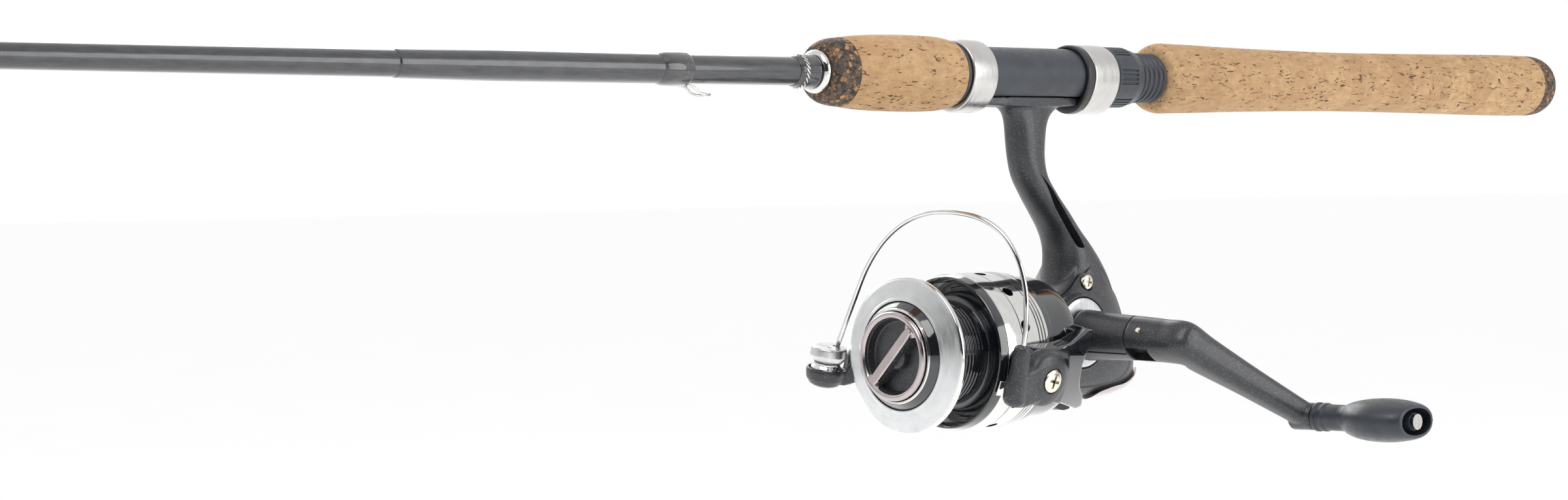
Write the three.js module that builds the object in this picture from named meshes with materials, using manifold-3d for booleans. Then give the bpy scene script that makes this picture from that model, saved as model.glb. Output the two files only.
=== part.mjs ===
// Spinning rod and reel, in millimetres. +X runs along the rod towards the butt, +Z is up, and the reel
// hangs below with its crank on the -Y side. The origin lies on the rod's axis, above the reel foot.
// Spool, rotor, pinion and main shaft share one axis along X. The crank turns about an axis along Y.

import * as THREE from "three";
import { mergeVertices } from "three/addons/utils/BufferGeometryUtils.js";
import Module from "manifold-3d";

const wasm = await Module();
wasm.setup();

// ---------------------------------------------------------------- driving dimensions
const GAP = 0.3; // clearance between neighbouring pieces

const ROD = {
  butt: 304, // flat end of the butt cap
  tip: -1372, // front of the tip-top: 1676 mm overall
  joint: -534, // mouth of the ferrule socket
  spigot: 50, // length of the spigot inside the socket
  step: -263, // front edge of the reinforced butt of the blank
  seat: 9.36, // radius of the reel seat tube
};
const KEEPER_WRAP = [-167.3, -155.7];
const GRIP_WRAP = [-112, -103.3];
const FOREGRIP = [-100.8, -91.9, -42.8]; // front, end of the dark composite cork, end of the cork
const FIXED_HOOD = [-40.6, -29.2];
const SLIDING_HOOD = [16.2, 19.8, 32.4]; // lip, front and rear of the steel shell
const LOCK_NUT = [32.9, 47.2];
const THREAD = { from: 22, first: 46.6, to: 60, pitch: 2.5, core: 8.0, crest: 8.7 };
const REAR_GRIP = [60.5, 293];
const FOOT = { from: -38, to: 27, half: 6, toe: 4, top: -7.4, end: -10 }; // flat-topped, narrow at its ends

const SPIN_Z = -91; // height of the spool, rotor and main shaft axis
const ROTOR_TURN = THREE.MathUtils.degToRad(13.6); // rest angle of the rotor's arms below the Y axis
const CRANK = { x: 5.5, z: -86.5, tilt: THREE.MathUtils.degToRad(33.5), reach: 51.4 };

const SPOOL = { lipR: 25.5, flange: -46, skirtR: 25.6, skirtEnd: -20, arborR: 17 };
const ROTOR = { cupR: 24, front: -31, rear: -5, armIn: 27.2, armOut: 31.7, pivot: -34, ear: 9.2 };
const BODY_HALF = 13; // half width of the reel body
const COVER_Y = -9.5; // parting plane between the reel body and its side cover

const GUIDES = [
  // distance of the ring along X, ring radius, height of the ring's centre below the blank's axis
  { name: "stripper_guide", x: -500, ring: 11, drop: 25 },
  { name: "second_guide", x: -790, ring: 8, drop: 18 },
  { name: "third_guide", x: -1080, ring: 6, drop: 14 },
];
const TIP_RING = { x: -1366, r: 4.6, drop: 6.4 };

// ---------------------------------------------------------------- solid geometry helpers
// A closed geometry as a manifold solid, turned inside out where its faces point inwards.
function solid(geometry) {
  const flat = geometry.index ? geometry.toNonIndexed() : geometry;
  const bare = new THREE.BufferGeometry().setAttribute("position", flat.getAttribute("position"));
  const merged = mergeVertices(bare, 1e-4);
  const triVerts = [];
  const index = merged.index.array;
  for (let i = 0; i < index.length; i += 3) {
    const [a, b, c] = [index[i], index[i + 1], index[i + 2]];
    if (a !== b && b !== c && a !== c) triVerts.push(a, b, c);
  }
  const make = (verts) =>
    new wasm.Manifold(
      new wasm.Mesh({
        numProp: 3,
        vertProperties: merged.attributes.position.array,
        triVerts: new Uint32Array(verts),
      }),
    );
  const made = make(triVerts);
  return made.volume() < 0 ? make(triVerts.reverse()) : made;
}

const union = (first, ...rest) => rest.reduce((all, one) => all.add(one), first);
const cut = (first, ...rest) => rest.reduce((all, one) => all.subtract(one), first);

// The matrices that stand a solid made about Y along another axis.
const ALONG = {
  x: new THREE.Matrix4().makeRotationZ(-Math.PI / 2),
  y: new THREE.Matrix4(),
  z: new THREE.Matrix4().makeRotationX(Math.PI / 2),
};

// A turned solid: points are [station along the axis, radius], from axis to axis or as a closed loop.
function turned(points, { axis = "x", at = [0, 0, 0], segments = 16 } = {}) {
  const profile = points.map(([s, r]) => new THREE.Vector2(r, s));
  const geometry = new THREE.LatheGeometry(profile, segments);
  geometry.applyMatrix4(ALONG[axis]);
  geometry.translate(...at);
  return solid(geometry);
}

// A solid cylinder from one station to another.
const rod = (from, to, r, options) =>
  turned(
    [
      [from, 0],
      [from, r],
      [to, r],
      [to, 0],
    ],
    options,
  );

// A tube with an outer and an inner radius.
const ring = (from, to, outer, inner, options) =>
  turned(
    [
      [from, inner],
      [from, outer],
      [to, outer],
      [to, inner],
      [from, inner],
    ],
    options,
  );

// A box from its lowest to its highest corner.
function box(low, high) {
  const size = high.map((v, i) => v - low[i]);
  const geometry = new THREE.BoxGeometry(...size);
  geometry.translate(...low.map((v, i) => v + size[i] / 2));
  return solid(geometry);
}

// An outline in the XZ plane, drawn out along Y between two stations, with rounded edges where asked.
function slab(points, fromY, toY, { round = 0, steps = 2, curve = 5 } = {}) {
  const drawn = points instanceof THREE.Shape;
  const shape = drawn ? points : new THREE.Shape(points.map((p) => new THREE.Vector2(...p)));
  const geometry = new THREE.ExtrudeGeometry(shape, {
    depth: toY - fromY - 2 * round,
    bevelEnabled: round > 0,
    bevelThickness: round,
    bevelSize: round,
    bevelOffset: -round,
    bevelSegments: steps,
    curveSegments: curve,
  });
  geometry.rotateX(Math.PI / 2);
  geometry.translate(0, toY - round, 0);
  return solid(geometry);
}

// An outline in the YZ plane, drawn out along X between two stations.
function plate(points, fromX, toX) {
  const shape = new THREE.Shape(points.map(([y, z]) => new THREE.Vector2(y, z)));
  const geometry = new THREE.ExtrudeGeometry(shape, { depth: toX - fromX, bevelEnabled: false });
  geometry.applyMatrix4(
    new THREE.Matrix4().makeBasis(
      new THREE.Vector3(0, 1, 0),
      new THREE.Vector3(0, 0, 1),
      new THREE.Vector3(1, 0, 0),
    ),
  );
  geometry.translate(fromX, 0, 0);
  return solid(geometry);
}

// A round wire along a smooth curve through the points.
function wire(points, r, { steps = 24, sides = 8, closed = false } = {}) {
  const path = new THREE.CatmullRomCurve3(
    points.map((p) => new THREE.Vector3(...p)),
    closed,
    "centripetal",
  );
  const section = new THREE.Shape().absarc(0, 0, r, 0, 2 * Math.PI);
  const geometry = new THREE.ExtrudeGeometry(section, {
    steps,
    curveSegments: sides / 2,
    bevelEnabled: false,
    extrudePath: path,
  });
  return solid(geometry);
}

// A loft through rings of points that all have the same count.
function loft(rings) {
  const count = rings[0].length;
  const vertices = rings.flat(2);
  const index = [];
  for (let k = 0; k < rings.length - 1; k += 1) {
    for (let i = 0; i < count; i += 1) {
      const a = k * count + i;
      const b = k * count + ((i + 1) % count);
      index.push(a, b, a + count, b, b + count, a + count);
    }
  }
  const last = (rings.length - 1) * count;
  for (let i = 1; i < count - 1; i += 1) {
    index.push(0, i + 1, i, last, last + i, last + i + 1);
  }
  const geometry = new THREE.BufferGeometry();
  geometry.setAttribute("position", new THREE.Float32BufferAttribute(vertices, 3));
  geometry.setIndex(index);
  return solid(geometry);
}

// A ring of points round a centre: a superellipse with half widths a and b along the directions u and v.
function section(centre, u, v, a, b, power = 2, count = 16) {
  const points = [];
  for (let i = 0; i < count; i += 1) {
    const angle = (2 * Math.PI * (i + 0.5)) / count;
    const c = Math.sign(Math.cos(angle)) * Math.abs(Math.cos(angle)) ** (2 / power);
    const s = Math.sign(Math.sin(angle)) * Math.abs(Math.sin(angle)) ** (2 / power);
    points.push(centre.map((value, k) => value + a * c * u[k] + b * s * v[k]));
  }
  return points;
}

// The outline of a spur gear in the XZ plane.
function gearOutline(teeth, root, tip, turn = 0) {
  const points = [];
  for (let i = 0; i < teeth; i += 1) {
    [
      [-0.3, root],
      [-0.14, tip],
      [0.14, tip],
      [0.3, root],
    ].forEach(([share, r]) => {
      const angle = turn + (2 * Math.PI * (i + share)) / teeth;
      points.push([r * Math.cos(angle), r * Math.sin(angle)]);
    });
  }
  return points;
}

// ---------------------------------------------------------------- looks
const LOOKS = {
  graphite: [0x34363a, 0.35, 0.2],
  thread: [0x17181a, 0.15, 0.0],
  cork: [0xc79a63, 0.85, 0.0],
  darkCork: [0x5a5045, 0.85, 0.0],
  steel: [0xc9c9c6, 0.3, 1.0],
  chrome: [0xe6e6e8, 0.08, 1.0],
  seat: [0x3c424b, 0.45, 0.0],
  sparkle: [0x3a3c40, 0.5, 0.3],
  gloss: [0x0c0d0f, 0.08, 0.0],
  silver: [0xd6d6d6, 0.25, 0.9],
  rose: [0xbdb3b4, 0.25, 0.8],
  rubber: [0x111111, 0.6, 0.0],
  brass: [0xb79a55, 0.3, 1.0],
  zinc: [0x9a9ca0, 0.4, 0.9],
  felt: [0x6b675f, 0.95, 0.0],
  ceramic: [0x24262c, 0.1, 0.0],
};

const object = new THREE.Group();
const rotorFrame = new THREE.Group(); // X along the spin axis, Y through the two arms
rotorFrame.position.z = SPIN_Z;
rotorFrame.rotation.x = ROTOR_TURN;
const spoolFrame = new THREE.Group();
spoolFrame.position.z = SPIN_Z;
const crankFrame = new THREE.Group(); // X along the crank's arm, Y along its axle
crankFrame.position.set(CRANK.x, 0, CRANK.z);
crankFrame.rotation.y = CRANK.tilt;
object.add(rotorFrame, spoolFrame, crankFrame);

function add(name, shape, look, parent = object) {
  const data = shape.getMesh();
  const geometry = new THREE.BufferGeometry();
  const positions = new Float32Array(data.numVert * 3);
  for (let i = 0; i < data.numVert; i += 1) {
    for (let k = 0; k < 3; k += 1) positions[3 * i + k] = data.vertProperties[data.numProp * i + k];
  }
  geometry.setAttribute("position", new THREE.BufferAttribute(positions, 3));
  geometry.setIndex(new THREE.BufferAttribute(new Uint32Array(data.triVerts), 1));
  geometry.computeVertexNormals();
  const [color, roughness, metalness] = LOOKS[look];
  const mesh = new THREE.Mesh(geometry, new THREE.MeshStandardMaterial({ color, roughness, metalness }));
  mesh.name = name;
  parent.add(mesh);
}

// ---------------------------------------------------------------- blank, wraps and grips
const SPIGOT_R = 2.9;
const CORE_R = 4.2; // the blank inside its wraps and grips

add(
  "rod_blank_butt",
  turned(
    [
      [ROD.joint - ROD.spigot, 0],
      [ROD.joint - ROD.spigot, SPIGOT_R - 0.15],
      [ROD.joint - 0.5, SPIGOT_R],
      [ROD.joint + 1, 3.1],
      [-381, 3.52],
      [ROD.step, 3.85],
      [ROD.step + 5, 4.15],
      [-227, 4.55],
      [KEEPER_WRAP[0], 4.5],
      [KEEPER_WRAP[0] + 0.1, CORE_R],
      [KEEPER_WRAP[1] - 0.1, CORE_R],
      [KEEPER_WRAP[1], 4.45],
      [GRIP_WRAP[0], 4.45],
      [GRIP_WRAP[0] + 0.1, CORE_R],
      [REAR_GRIP[1] + 6, CORE_R],
      [REAR_GRIP[1] + 6, 0],
    ],
    { segments: 20 },
  ),
  "graphite",
);

add(
  "keeper_wrap",
  turned(
    [
      [KEEPER_WRAP[0] + 0.3, CORE_R + GAP],
      [KEEPER_WRAP[0] + 0.3, 4.65],
      [KEEPER_WRAP[0] + 3, 5.05],
      [-160, 5.2],
      [KEEPER_WRAP[1] - 1.4, 5.1],
      [KEEPER_WRAP[1] - 0.3, 4.7],
      [KEEPER_WRAP[1] - 0.3, CORE_R + GAP],
      [KEEPER_WRAP[0] + 0.3, CORE_R + GAP],
    ],
    { segments: 20 },
  ),
  "thread",
);

// Both legs of the bent wire lie against the blank behind the wrap, and the loop hangs behind them.
add(
  "hook_keeper",
  wire(
    [
      [-155, -1.8, -5.2],
      [-153.6, -1.9, -5.9],
      [-152, -2.1, -7.2],
      [-149, -2.1, -7.8],
      [-147.2, -1.2, -7.7],
      [-146.7, 0, -7.6],
      [-147.2, 1.2, -7.7],
      [-149, 2.1, -7.8],
      [-152, 2.1, -7.2],
      [-153.6, 1.9, -5.9],
      [-155, 1.8, -5.2],
    ],
    0.4,
    { steps: 22, sides: 6 },
  ),
  "steel",
);

add(
  "foregrip_wrap",
  turned(
    [
      [GRIP_WRAP[0] + 0.3, CORE_R + GAP],
      [GRIP_WRAP[0] + 0.3, 4.8],
      [GRIP_WRAP[0] + 2.2, 5.35],
      [GRIP_WRAP[1] - 0.3, 5.38],
      [GRIP_WRAP[1] - 0.3, CORE_R + GAP],
      [GRIP_WRAP[0] + 0.3, CORE_R + GAP],
    ],
    { segments: 20 },
  ),
  "thread",
);

add(
  "winding_check",
  turned(
    [
      [GRIP_WRAP[1], CORE_R + GAP],
      [GRIP_WRAP[1], 5.9],
      [GRIP_WRAP[1] + 0.7, 6.8],
      [FOREGRIP[0] - GAP, 6.9],
      [FOREGRIP[0] - GAP, CORE_R + GAP],
      [GRIP_WRAP[1], CORE_R + GAP],
    ],
    { segments: 20 },
  ),
  "chrome",
);

// A grip: the outer profile with a bore for the blank.
function grip(profile) {
  const bore = CORE_R + GAP;
  const first = profile[0][0];
  const last = profile[profile.length - 1][0];
  return turned([[first, bore], ...profile, [last, bore], [first, bore]], { segments: 20 });
}

add(
  "foregrip_front_ring",
  grip([
    [FOREGRIP[0], 7.2],
    [-100.2, 8.7],
    [-98.4, 9.9],
    [-95.6, 10.6],
    [FOREGRIP[1], 10.95],
  ]),
  "darkCork",
);

add(
  "foregrip_cork",
  grip([
    [FOREGRIP[1] + GAP, 11.0],
    [-85, 11.7],
    [-74, 12.2],
    [-60, 12.35],
    [-50, 12.1],
    [-45.4, 11.6],
    [FOREGRIP[2], 10.8],
  ]),
  "cork",
);

add(
  "rear_grip_cork",
  grip([
    [REAR_GRIP[0], 9.2],
    [REAR_GRIP[0] + 0.9, 10.9],
    [REAR_GRIP[0] + 3.2, 12.1],
    [72, 12.2],
    [110, 11.5],
    [168, 11.0],
    [225, 11.5],
    [272, 12.1],
    [REAR_GRIP[1], 12.05],
  ]),
  "cork",
);

add(
  "butt_cap",
  turned(
    [
      [REAR_GRIP[1] + GAP, CORE_R + GAP],
      [REAR_GRIP[1] + GAP, 12.05],
      [299.5, 11.8],
      [302.4, 10.9],
      [ROD.butt, 8.6],
      [ROD.butt, 0],
      [REAR_GRIP[1] + 6 + GAP, 0],
      [REAR_GRIP[1] + 6 + GAP, CORE_R + GAP],
      [REAR_GRIP[1] + GAP, CORE_R + GAP],
    ],
    { segments: 20 },
  ),
  "darkCork",
);

// ---------------------------------------------------------------- reel seat
// The seat tube has a flat bed below for the foot, thread ridges behind, and a collar in front.
function seatTube() {
  const bore = CORE_R + GAP;
  const profile = [
    [FOREGRIP[2] + GAP, bore],
    [FOREGRIP[2] + GAP, 10.4],
    [FIXED_HOOD[0] - GAP, 10.4],
    [FIXED_HOOD[0] - GAP, ROD.seat],
    [THREAD.from, ROD.seat],
    [THREAD.from + 0.6, THREAD.core],
  ];
  for (let x = THREAD.first; x < THREAD.to; x += THREAD.pitch) {
    profile.push([x - 0.8, THREAD.core], [x, THREAD.crest], [x + 0.8, THREAD.core]);
  }
  profile.push([THREAD.to, THREAD.core], [THREAD.to, bore], [FOREGRIP[2] + GAP, bore]);
  const bed = box([FOOT.from - 1, -7, -12], [FOOT.to + 0.7, 7, FOOT.top + GAP]);
  return cut(turned(profile, { segments: 20 }), bed);
}
add("reel_seat_tube", seatTube(), "seat");

// A hood's outline: round at the top, and dropped below into a pocket for the reel's foot.
function hoodOutline(r, drop, count = 28) {
  const points = [];
  for (let i = 0; i < count; i += 1) {
    const angle = (2 * Math.PI * i) / count;
    const low = Math.max(0, -Math.sin(angle)) ** 2;
    points.push([r * Math.cos(angle), r * Math.sin(angle) - drop * low]);
  }
  return points;
}

const footPocket = (from, to) => box([from, -FOOT.toe - GAP, FOOT.end - GAP], [to, FOOT.toe + GAP, -6]);

add(
  "fixed_hood",
  cut(
    plate(hoodOutline(11.3, 1.2), ...FIXED_HOOD),
    rod(FIXED_HOOD[0] - 1, FIXED_HOOD[1] + 1, ROD.seat + GAP),
    footPocket(FOOT.from - GAP, FIXED_HOOD[1] + 1),
  ),
  "steel",
);

const HOOD_DROP = 2;
const LINER_R = 10;
const SHELL_R = 10.75;
add(
  "sliding_hood_liner",
  cut(
    union(
      plate(hoodOutline(SHELL_R, HOOD_DROP), SLIDING_HOOD[0], SLIDING_HOOD[1] - GAP),
      plate(hoodOutline(LINER_R, HOOD_DROP), SLIDING_HOOD[1] - 1, SLIDING_HOOD[2]),
    ),
    rod(SLIDING_HOOD[0] - 1, SLIDING_HOOD[2] + 1, ROD.seat + GAP),
    footPocket(SLIDING_HOOD[0] - 1, FOOT.to + GAP),
  ),
  "rubber",
);

add(
  "sliding_hood_shell",
  cut(
    plate(hoodOutline(SHELL_R, HOOD_DROP), SLIDING_HOOD[1], SLIDING_HOOD[2]),
    plate(hoodOutline(LINER_R + GAP, HOOD_DROP + 0.05), SLIDING_HOOD[1] - 1, SLIDING_HOOD[2] + 1),
  ),
  "steel",
);

// The nut's rim has six sunk bands of knurling.
function lockNut() {
  const bore = THREAD.crest + GAP;
  const blank = turned(
    [
      [LOCK_NUT[0], bore],
      [LOCK_NUT[0], 10.4],
      [LOCK_NUT[1] - 4.5, 10.4],
      [LOCK_NUT[1] - 1.5, 9.9],
      [LOCK_NUT[1], 9.3],
      [LOCK_NUT[1], bore],
      [LOCK_NUT[0], bore],
    ],
    { segments: 24 },
  );
  const bands = [];
  for (let k = 0; k < 6; k += 1) {
    const band = new THREE.BoxGeometry(8, 1, 5);
    band.translate(LOCK_NUT[0] + 5.6, 10.35, 0);
    band.rotateX((Math.PI / 3) * k);
    bands.push(solid(band));
  }
  return cut(blank, ...bands);
}
add("lock_nut", lockNut(), "seat");

// ---------------------------------------------------------------- line guides
// A guide's frame is a ring on two legs that meet in a foot on the blank. The ceramic ring sits inside it.
function guideFrame({ x, ring: r, drop }, blankR) {
  const hoop = ring(x - 1.3, x + 1.3, r + 1.5, r + GAP, { at: [0, 0, -drop], segments: 24 });
  const legs = [-1, 1].map((side) =>
    wire(
      [
        [x, side * (r + 1) * 0.68, -drop + (r + 1) * 0.733],
        [x + drop * 0.35, side * r * 0.42, -drop * 0.42 - r * 0.1],
        [x + drop * 0.75, side * 0.9, -blankR - 1.2],
        [x + drop * 0.75 + 4, side * 0.35, -blankR - 0.9],
      ],
      0.75,
      { steps: 5, sides: 6 },
    ),
  );
  const heel = x + drop * 0.75;
  const foot = box([heel - 0.5, -1.1, -blankR - 1.5], [heel + 14, 1.1, -blankR - GAP]);
  return union(hoop, ...legs, foot);
}

const guideRing = ({ x, ring: r, drop }) =>
  turned(
    [
      [x - 1.5, r],
      [x, r - 0.8],
      [x + 1.5, r],
      [x - 1.5, r],
    ],
    { at: [0, 0, -drop], segments: 24 },
  );

const tipRadius = (x) => THREE.MathUtils.mapLinear(x, ROD.tip, ROD.joint - 60, 0.95, 2.9);
GUIDES.forEach((guide) => {
  const blankR = guide.x < ROD.joint ? tipRadius(guide.x + 14) : 3.35;
  add(guide.name + "_frame", guideFrame(guide, blankR), "steel");
  add(guide.name + "_ring", guideRing(guide), "ceramic");
});

// ---------------------------------------------------------------- tip section
add(
  "rod_blank_tip",
  turned(
    [
      [ROD.tip + 10, 0],
      [ROD.tip + 10, 1.0],
      [ROD.joint - 66, 2.9],
      [ROD.joint - 56, 3.9],
      [ROD.joint - GAP, 4.1],
      [ROD.joint - GAP, SPIGOT_R + GAP],
      [ROD.joint - ROD.spigot - 1, SPIGOT_R + GAP - 0.15],
      [ROD.joint - ROD.spigot - 1, 0],
    ],
    { segments: 20 },
  ),
  "graphite",
);

add(
  "tip_top_frame",
  cut(
    union(
      ring(TIP_RING.x - 1.2, TIP_RING.x + 1.2, TIP_RING.r, TIP_RING.r - 1.3, {
        at: [0, 0, -TIP_RING.drop],
        segments: 20,
      }),
      rod(ROD.tip, ROD.tip + 22, 1.9, { segments: 12 }),
    ),
    rod(ROD.tip + 9, ROD.tip + 23, 1.0 + GAP, { segments: 12 }),
    rod(ROD.tip - 1, ROD.tip + 9, TIP_RING.r - 1.2, { at: [0, 0, -TIP_RING.drop], segments: 20 }),
  ),
  "steel",
);

// ---------------------------------------------------------------- reel body, foot and stem
// Height, front edge, rear edge and half width of the stem, from the foot down into the body.
const STEM = [
  [-9.6, -19.5, 13, 5.6],
  [-11.2, -16.1, 9.1, 5.2],
  [-13.5, -14, 5.8, 5.3],
  [-16.5, -12.9, 3.8, 5.5],
  [-21, -12.3, 2.7, 5.6],
  [-27.5, -11.3, 2.1, 5.6],
  [-33.5, -9.4, 3.1, 5.8],
  [-40, -5, 7.6, 6.2],
  [-46.5, 0.4, 13.2, 6.8],
  [-52, 4.8, 17.5, 7.4],
  [-57.5, 7.2, 22.8, 8.2],
  [-63.5, 7.4, 27.8, 9.2],
  [-69, 6.3, 31, 10.4],
  [-74, 4.4, 33.2, 11.2],
];
// The same for the body under it, which is square in front and rounded behind.
const BODY = [
  [-64, 10.5, 28, 8.4],
  [-68, 8.5, 30.4, 10],
  [-72, 4.6, 32.8, 11.6],
  [-76, -2, 35.2, BODY_HALF],
  [-82, -4.2, 38.4, BODY_HALF],
  [-91, -4.2, 42.3, BODY_HALF],
  [-98.6, -4.2, 45.2, 12.3],
  [-103, -3.8, 44.8, 10.8],
  [-105.8, -1, 41.6, 8.8],
  [-107.9, 4, 34.5, 6.2],
  [-109, 11, 25, 3.4],
];
const BODY_MID = 14; // where the body's rounding behind begins
const NOSE = { r: 17, half: 13.4, from: -12.2, to: 2 }; // enters the back of the rotor

const spinAxis = { at: [0, 0, SPIN_Z] };
const crankAxis = { axis: "y", at: [CRANK.x, 0, CRANK.z] };

const stem = loft(
  STEM.map(([z, front, rear, half]) =>
    section([(front + rear) / 2, 0, z], [1, 0, 0], [0, 1, 0], (rear - front) / 2, half, 2.3, 16),
  ),
);
const foot = slab(
  [
    [FOOT.from, FOOT.top],
    [FOOT.to, FOOT.top],
    [FOOT.to, FOOT.end + 0.3],
    [17, FOOT.end],
    [10, FOOT.end - 0.5],
    [-16.5, FOOT.end - 0.5],
    [-27, FOOT.end],
    [FOOT.from, FOOT.end + 0.3],
  ],
  -FOOT.half,
  FOOT.half,
).intersect(
  loft(
    [-20, -5].map((z) => [
      [FOOT.from, -FOOT.toe, z],
      [-27, -FOOT.toe, z],
      [-20, -FOOT.half, z],
      [10, -FOOT.half, z],
      [17, -FOOT.toe, z],
      [FOOT.to, -FOOT.toe, z],
      [FOOT.to, FOOT.toe, z],
      [17, FOOT.toe, z],
      [10, FOOT.half, z],
      [-20, FOOT.half, z],
      [-27, FOOT.toe, z],
      [FOOT.from, FOOT.toe, z],
    ]),
  ),
);
const nose = rod(NOSE.from, NOSE.to, NOSE.r, { ...spinAxis, segments: 28 }).intersect(
  box([-40, -NOSE.half, -120], [40, NOSE.half, -60]),
);

// A loft through the body's rings, moved in or out from its skin.
function bodyLoft(offset, rings = BODY, count = 20) {
  return loft(
    rings.map(([z, front, rear, half]) => {
      const points = [];
      for (let i = 0; i < count; i += 1) {
        const angle = (2 * Math.PI * (i + 0.5)) / count;
        const [c, s] = [Math.cos(angle), Math.sin(angle)];
        const [reach, power] = c > 0 ? [rear - BODY_MID, 2.2] : [BODY_MID - front, 5];
        points.push([
          BODY_MID + (reach + offset) * Math.sign(c) * Math.abs(c) ** (2 / power),
          (half + offset) * Math.sign(s) * Math.abs(s) ** (2 / power),
          z + (offset * (z + 90)) / 20,
        ]);
      }
      return points;
    }),
  );
}
const casing = union(bodyLoft(0), nose);

// The cavity holds the gear train. It opens on the -Y side under the cover.
const CAVITY = [
  [-72, 3, 26, 9],
  [-80, -1.2, 32, 9.9],
  [-91, -1.2, 38, 10.5],
  [-99, -1.2, 39, 9.6],
  [-104.5, 2, 35, 8],
];
const GEAR_SPACE = { from: COVER_Y, to: -3, r: 13.5 };
const cavity = union(
  bodyLoft(0, CAVITY, 16),
  rod(NOSE.from + 4.2, 6, NOSE.r - 3, spinAxis).intersect(box([-40, -NOSE.half + 2, -120], [40, 9.5, -60])),
  rod(GEAR_SPACE.from, GEAR_SPACE.to, GEAR_SPACE.r, { ...crankAxis, segments: 32 }),
);
const BOSS_R = 12.9;
const coverSpace = box([-4.5, -BODY_HALF - 3, -120], [60, COVER_Y + GAP, -62]);
const BEARING = { outer: 6.2, inner: 2.3 + GAP };
const farBoss = rod(9, 16.5, 8.4, crankAxis);
const SCREW = [12.5, -69.8];
const SCREW_SEAT = -10.7; // under the screw's head
const onScrew = (segments) => ({ axis: "y", at: [SCREW[0], 0, SCREW[1]], segments });

add(
  "reel_body",
  cut(
    union(
      cut(union(stem, casing), cavity, coverSpace),
      foot,
      farBoss,
      rod(COVER_Y + GAP, 11, 3.1, onScrew(12)),
    ),
    rod(-BODY_HALF - 5, COVER_Y + GAP, BOSS_R + GAP, { ...crankAxis, segments: 32 }),
    rod(NOSE.from - 1, NOSE.from + 5, 8.3, spinAxis),
    rod(9, 13.5, BEARING.outer + GAP, crankAxis),
    rod(9, 18, 5.2, crankAxis),
    rod(-20, 4, 1.3, onScrew(10)),
  ),
  "sparkle",
);

add(
  "side_cover",
  cut(
    union(
      casing.intersect(box([-4.5, -BODY_HALF - 3, -120], [60, COVER_Y, -62.3])),
      rod(-15.2, COVER_Y, BOSS_R, { ...crankAxis, segments: 28 }),
    ),
    rod(-14, COVER_Y + 1, BEARING.outer + GAP, crankAxis),
    rod(-20, -13, 5.2, crankAxis),
    ring(-15.3, -14.2, 12.1, 5.1, { ...crankAxis, segments: 28 }),
    rod(-20, 4, 1.3, onScrew(10)),
    rod(-20, SCREW_SEAT, 2.9, onScrew(14)),
  ),
  "sparkle",
);

add(
  "cover_screw",
  cut(
    union(rod(SCREW_SEAT - 1.5, SCREW_SEAT, 2.6, onScrew(14)), rod(SCREW_SEAT - 0.1, 2, 1.0, onScrew(10))),
    box([SCREW[0] - 1.6, -14, SCREW[1] - 0.3], [SCREW[0] + 1.6, SCREW_SEAT - 0.7, SCREW[1] + 0.3]),
    box([SCREW[0] - 0.3, -14, SCREW[1] - 1.6], [SCREW[0] + 0.3, SCREW_SEAT - 0.7, SCREW[1] + 1.6]),
  ),
  "brass",
);

add("crank_boss_ring", ring(-15.6, -14.5, 11.8, 5.6, { ...crankAxis, segments: 28 }), "silver");
add(
  "far_side_cap",
  turned(
    [
      [16.8, 0],
      [16.8, 7.8],
      [18, 7.2],
      [18.6, 5.5],
      [18.6, 0],
    ],
    { ...crankAxis, segments: 24 },
  ),
  "sparkle",
);

const crankBearing = (from, to) =>
  ring(from, to, BEARING.outer, BEARING.inner, { segments: 24, ...crankAxis });
add("near_crank_bearing", crankBearing(-13.2, COVER_Y - 0.2), "steel");
add("far_crank_bearing", crankBearing(9.8, 13.2), "steel");
add(
  "pinion_bearing",
  ring(NOSE.from + 0.2, NOSE.from + 3.9, 8.0, 3.2, { segments: 24, ...spinAxis }),
  "steel",
);

// Bright plate that follows the body's tail and underside.
const tailTrim = cut(
  bodyLoft(1.1).intersect(
    slab(
      [
        [56, -99],
        [56, -118],
        [19, -118],
        [19, -108],
        [27, -106],
        [35, -105.4],
        [42, -102.4],
        [47, -99],
      ],
      -10.5,
      10.5,
    ),
  ),
  bodyLoft(GAP),
);
add("tail_trim", tailTrim, "rose");

// The anti-reverse lever rocks on a pin under the body's front.
const LEVER = [5, -110.8];
add(
  "anti_reverse_lever",
  union(
    rod(-4, 4, 1.7, { axis: "y", at: [LEVER[0], 0, LEVER[1]], segments: 14 }),
    slab(
      [
        [LEVER[0] - 0.4, LEVER[1] - 1.6],
        [LEVER[0] + 6, LEVER[1] - 2],
        [LEVER[0] + 6.6, LEVER[1] - 0.9],
        [LEVER[0], LEVER[1] + 1.2],
      ],
      -3.6,
      3.6,
    ),
  ),
  "rubber",
);

// ---------------------------------------------------------------- gear train
const HUB_R = 2.3;
const OSCILLATION = { x: 18.9, z: -89.2, teeth: 15, tip: 9.6, root: 8.5 };
const MESH = Math.atan2(OSCILLATION.z - CRANK.z, OSCILLATION.x - CRANK.x); // towards it from the drive gear
const DRIVE = { teeth: 30, face: -3.4, plate: -8, rim: 13, inner: 9.4 };

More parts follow.
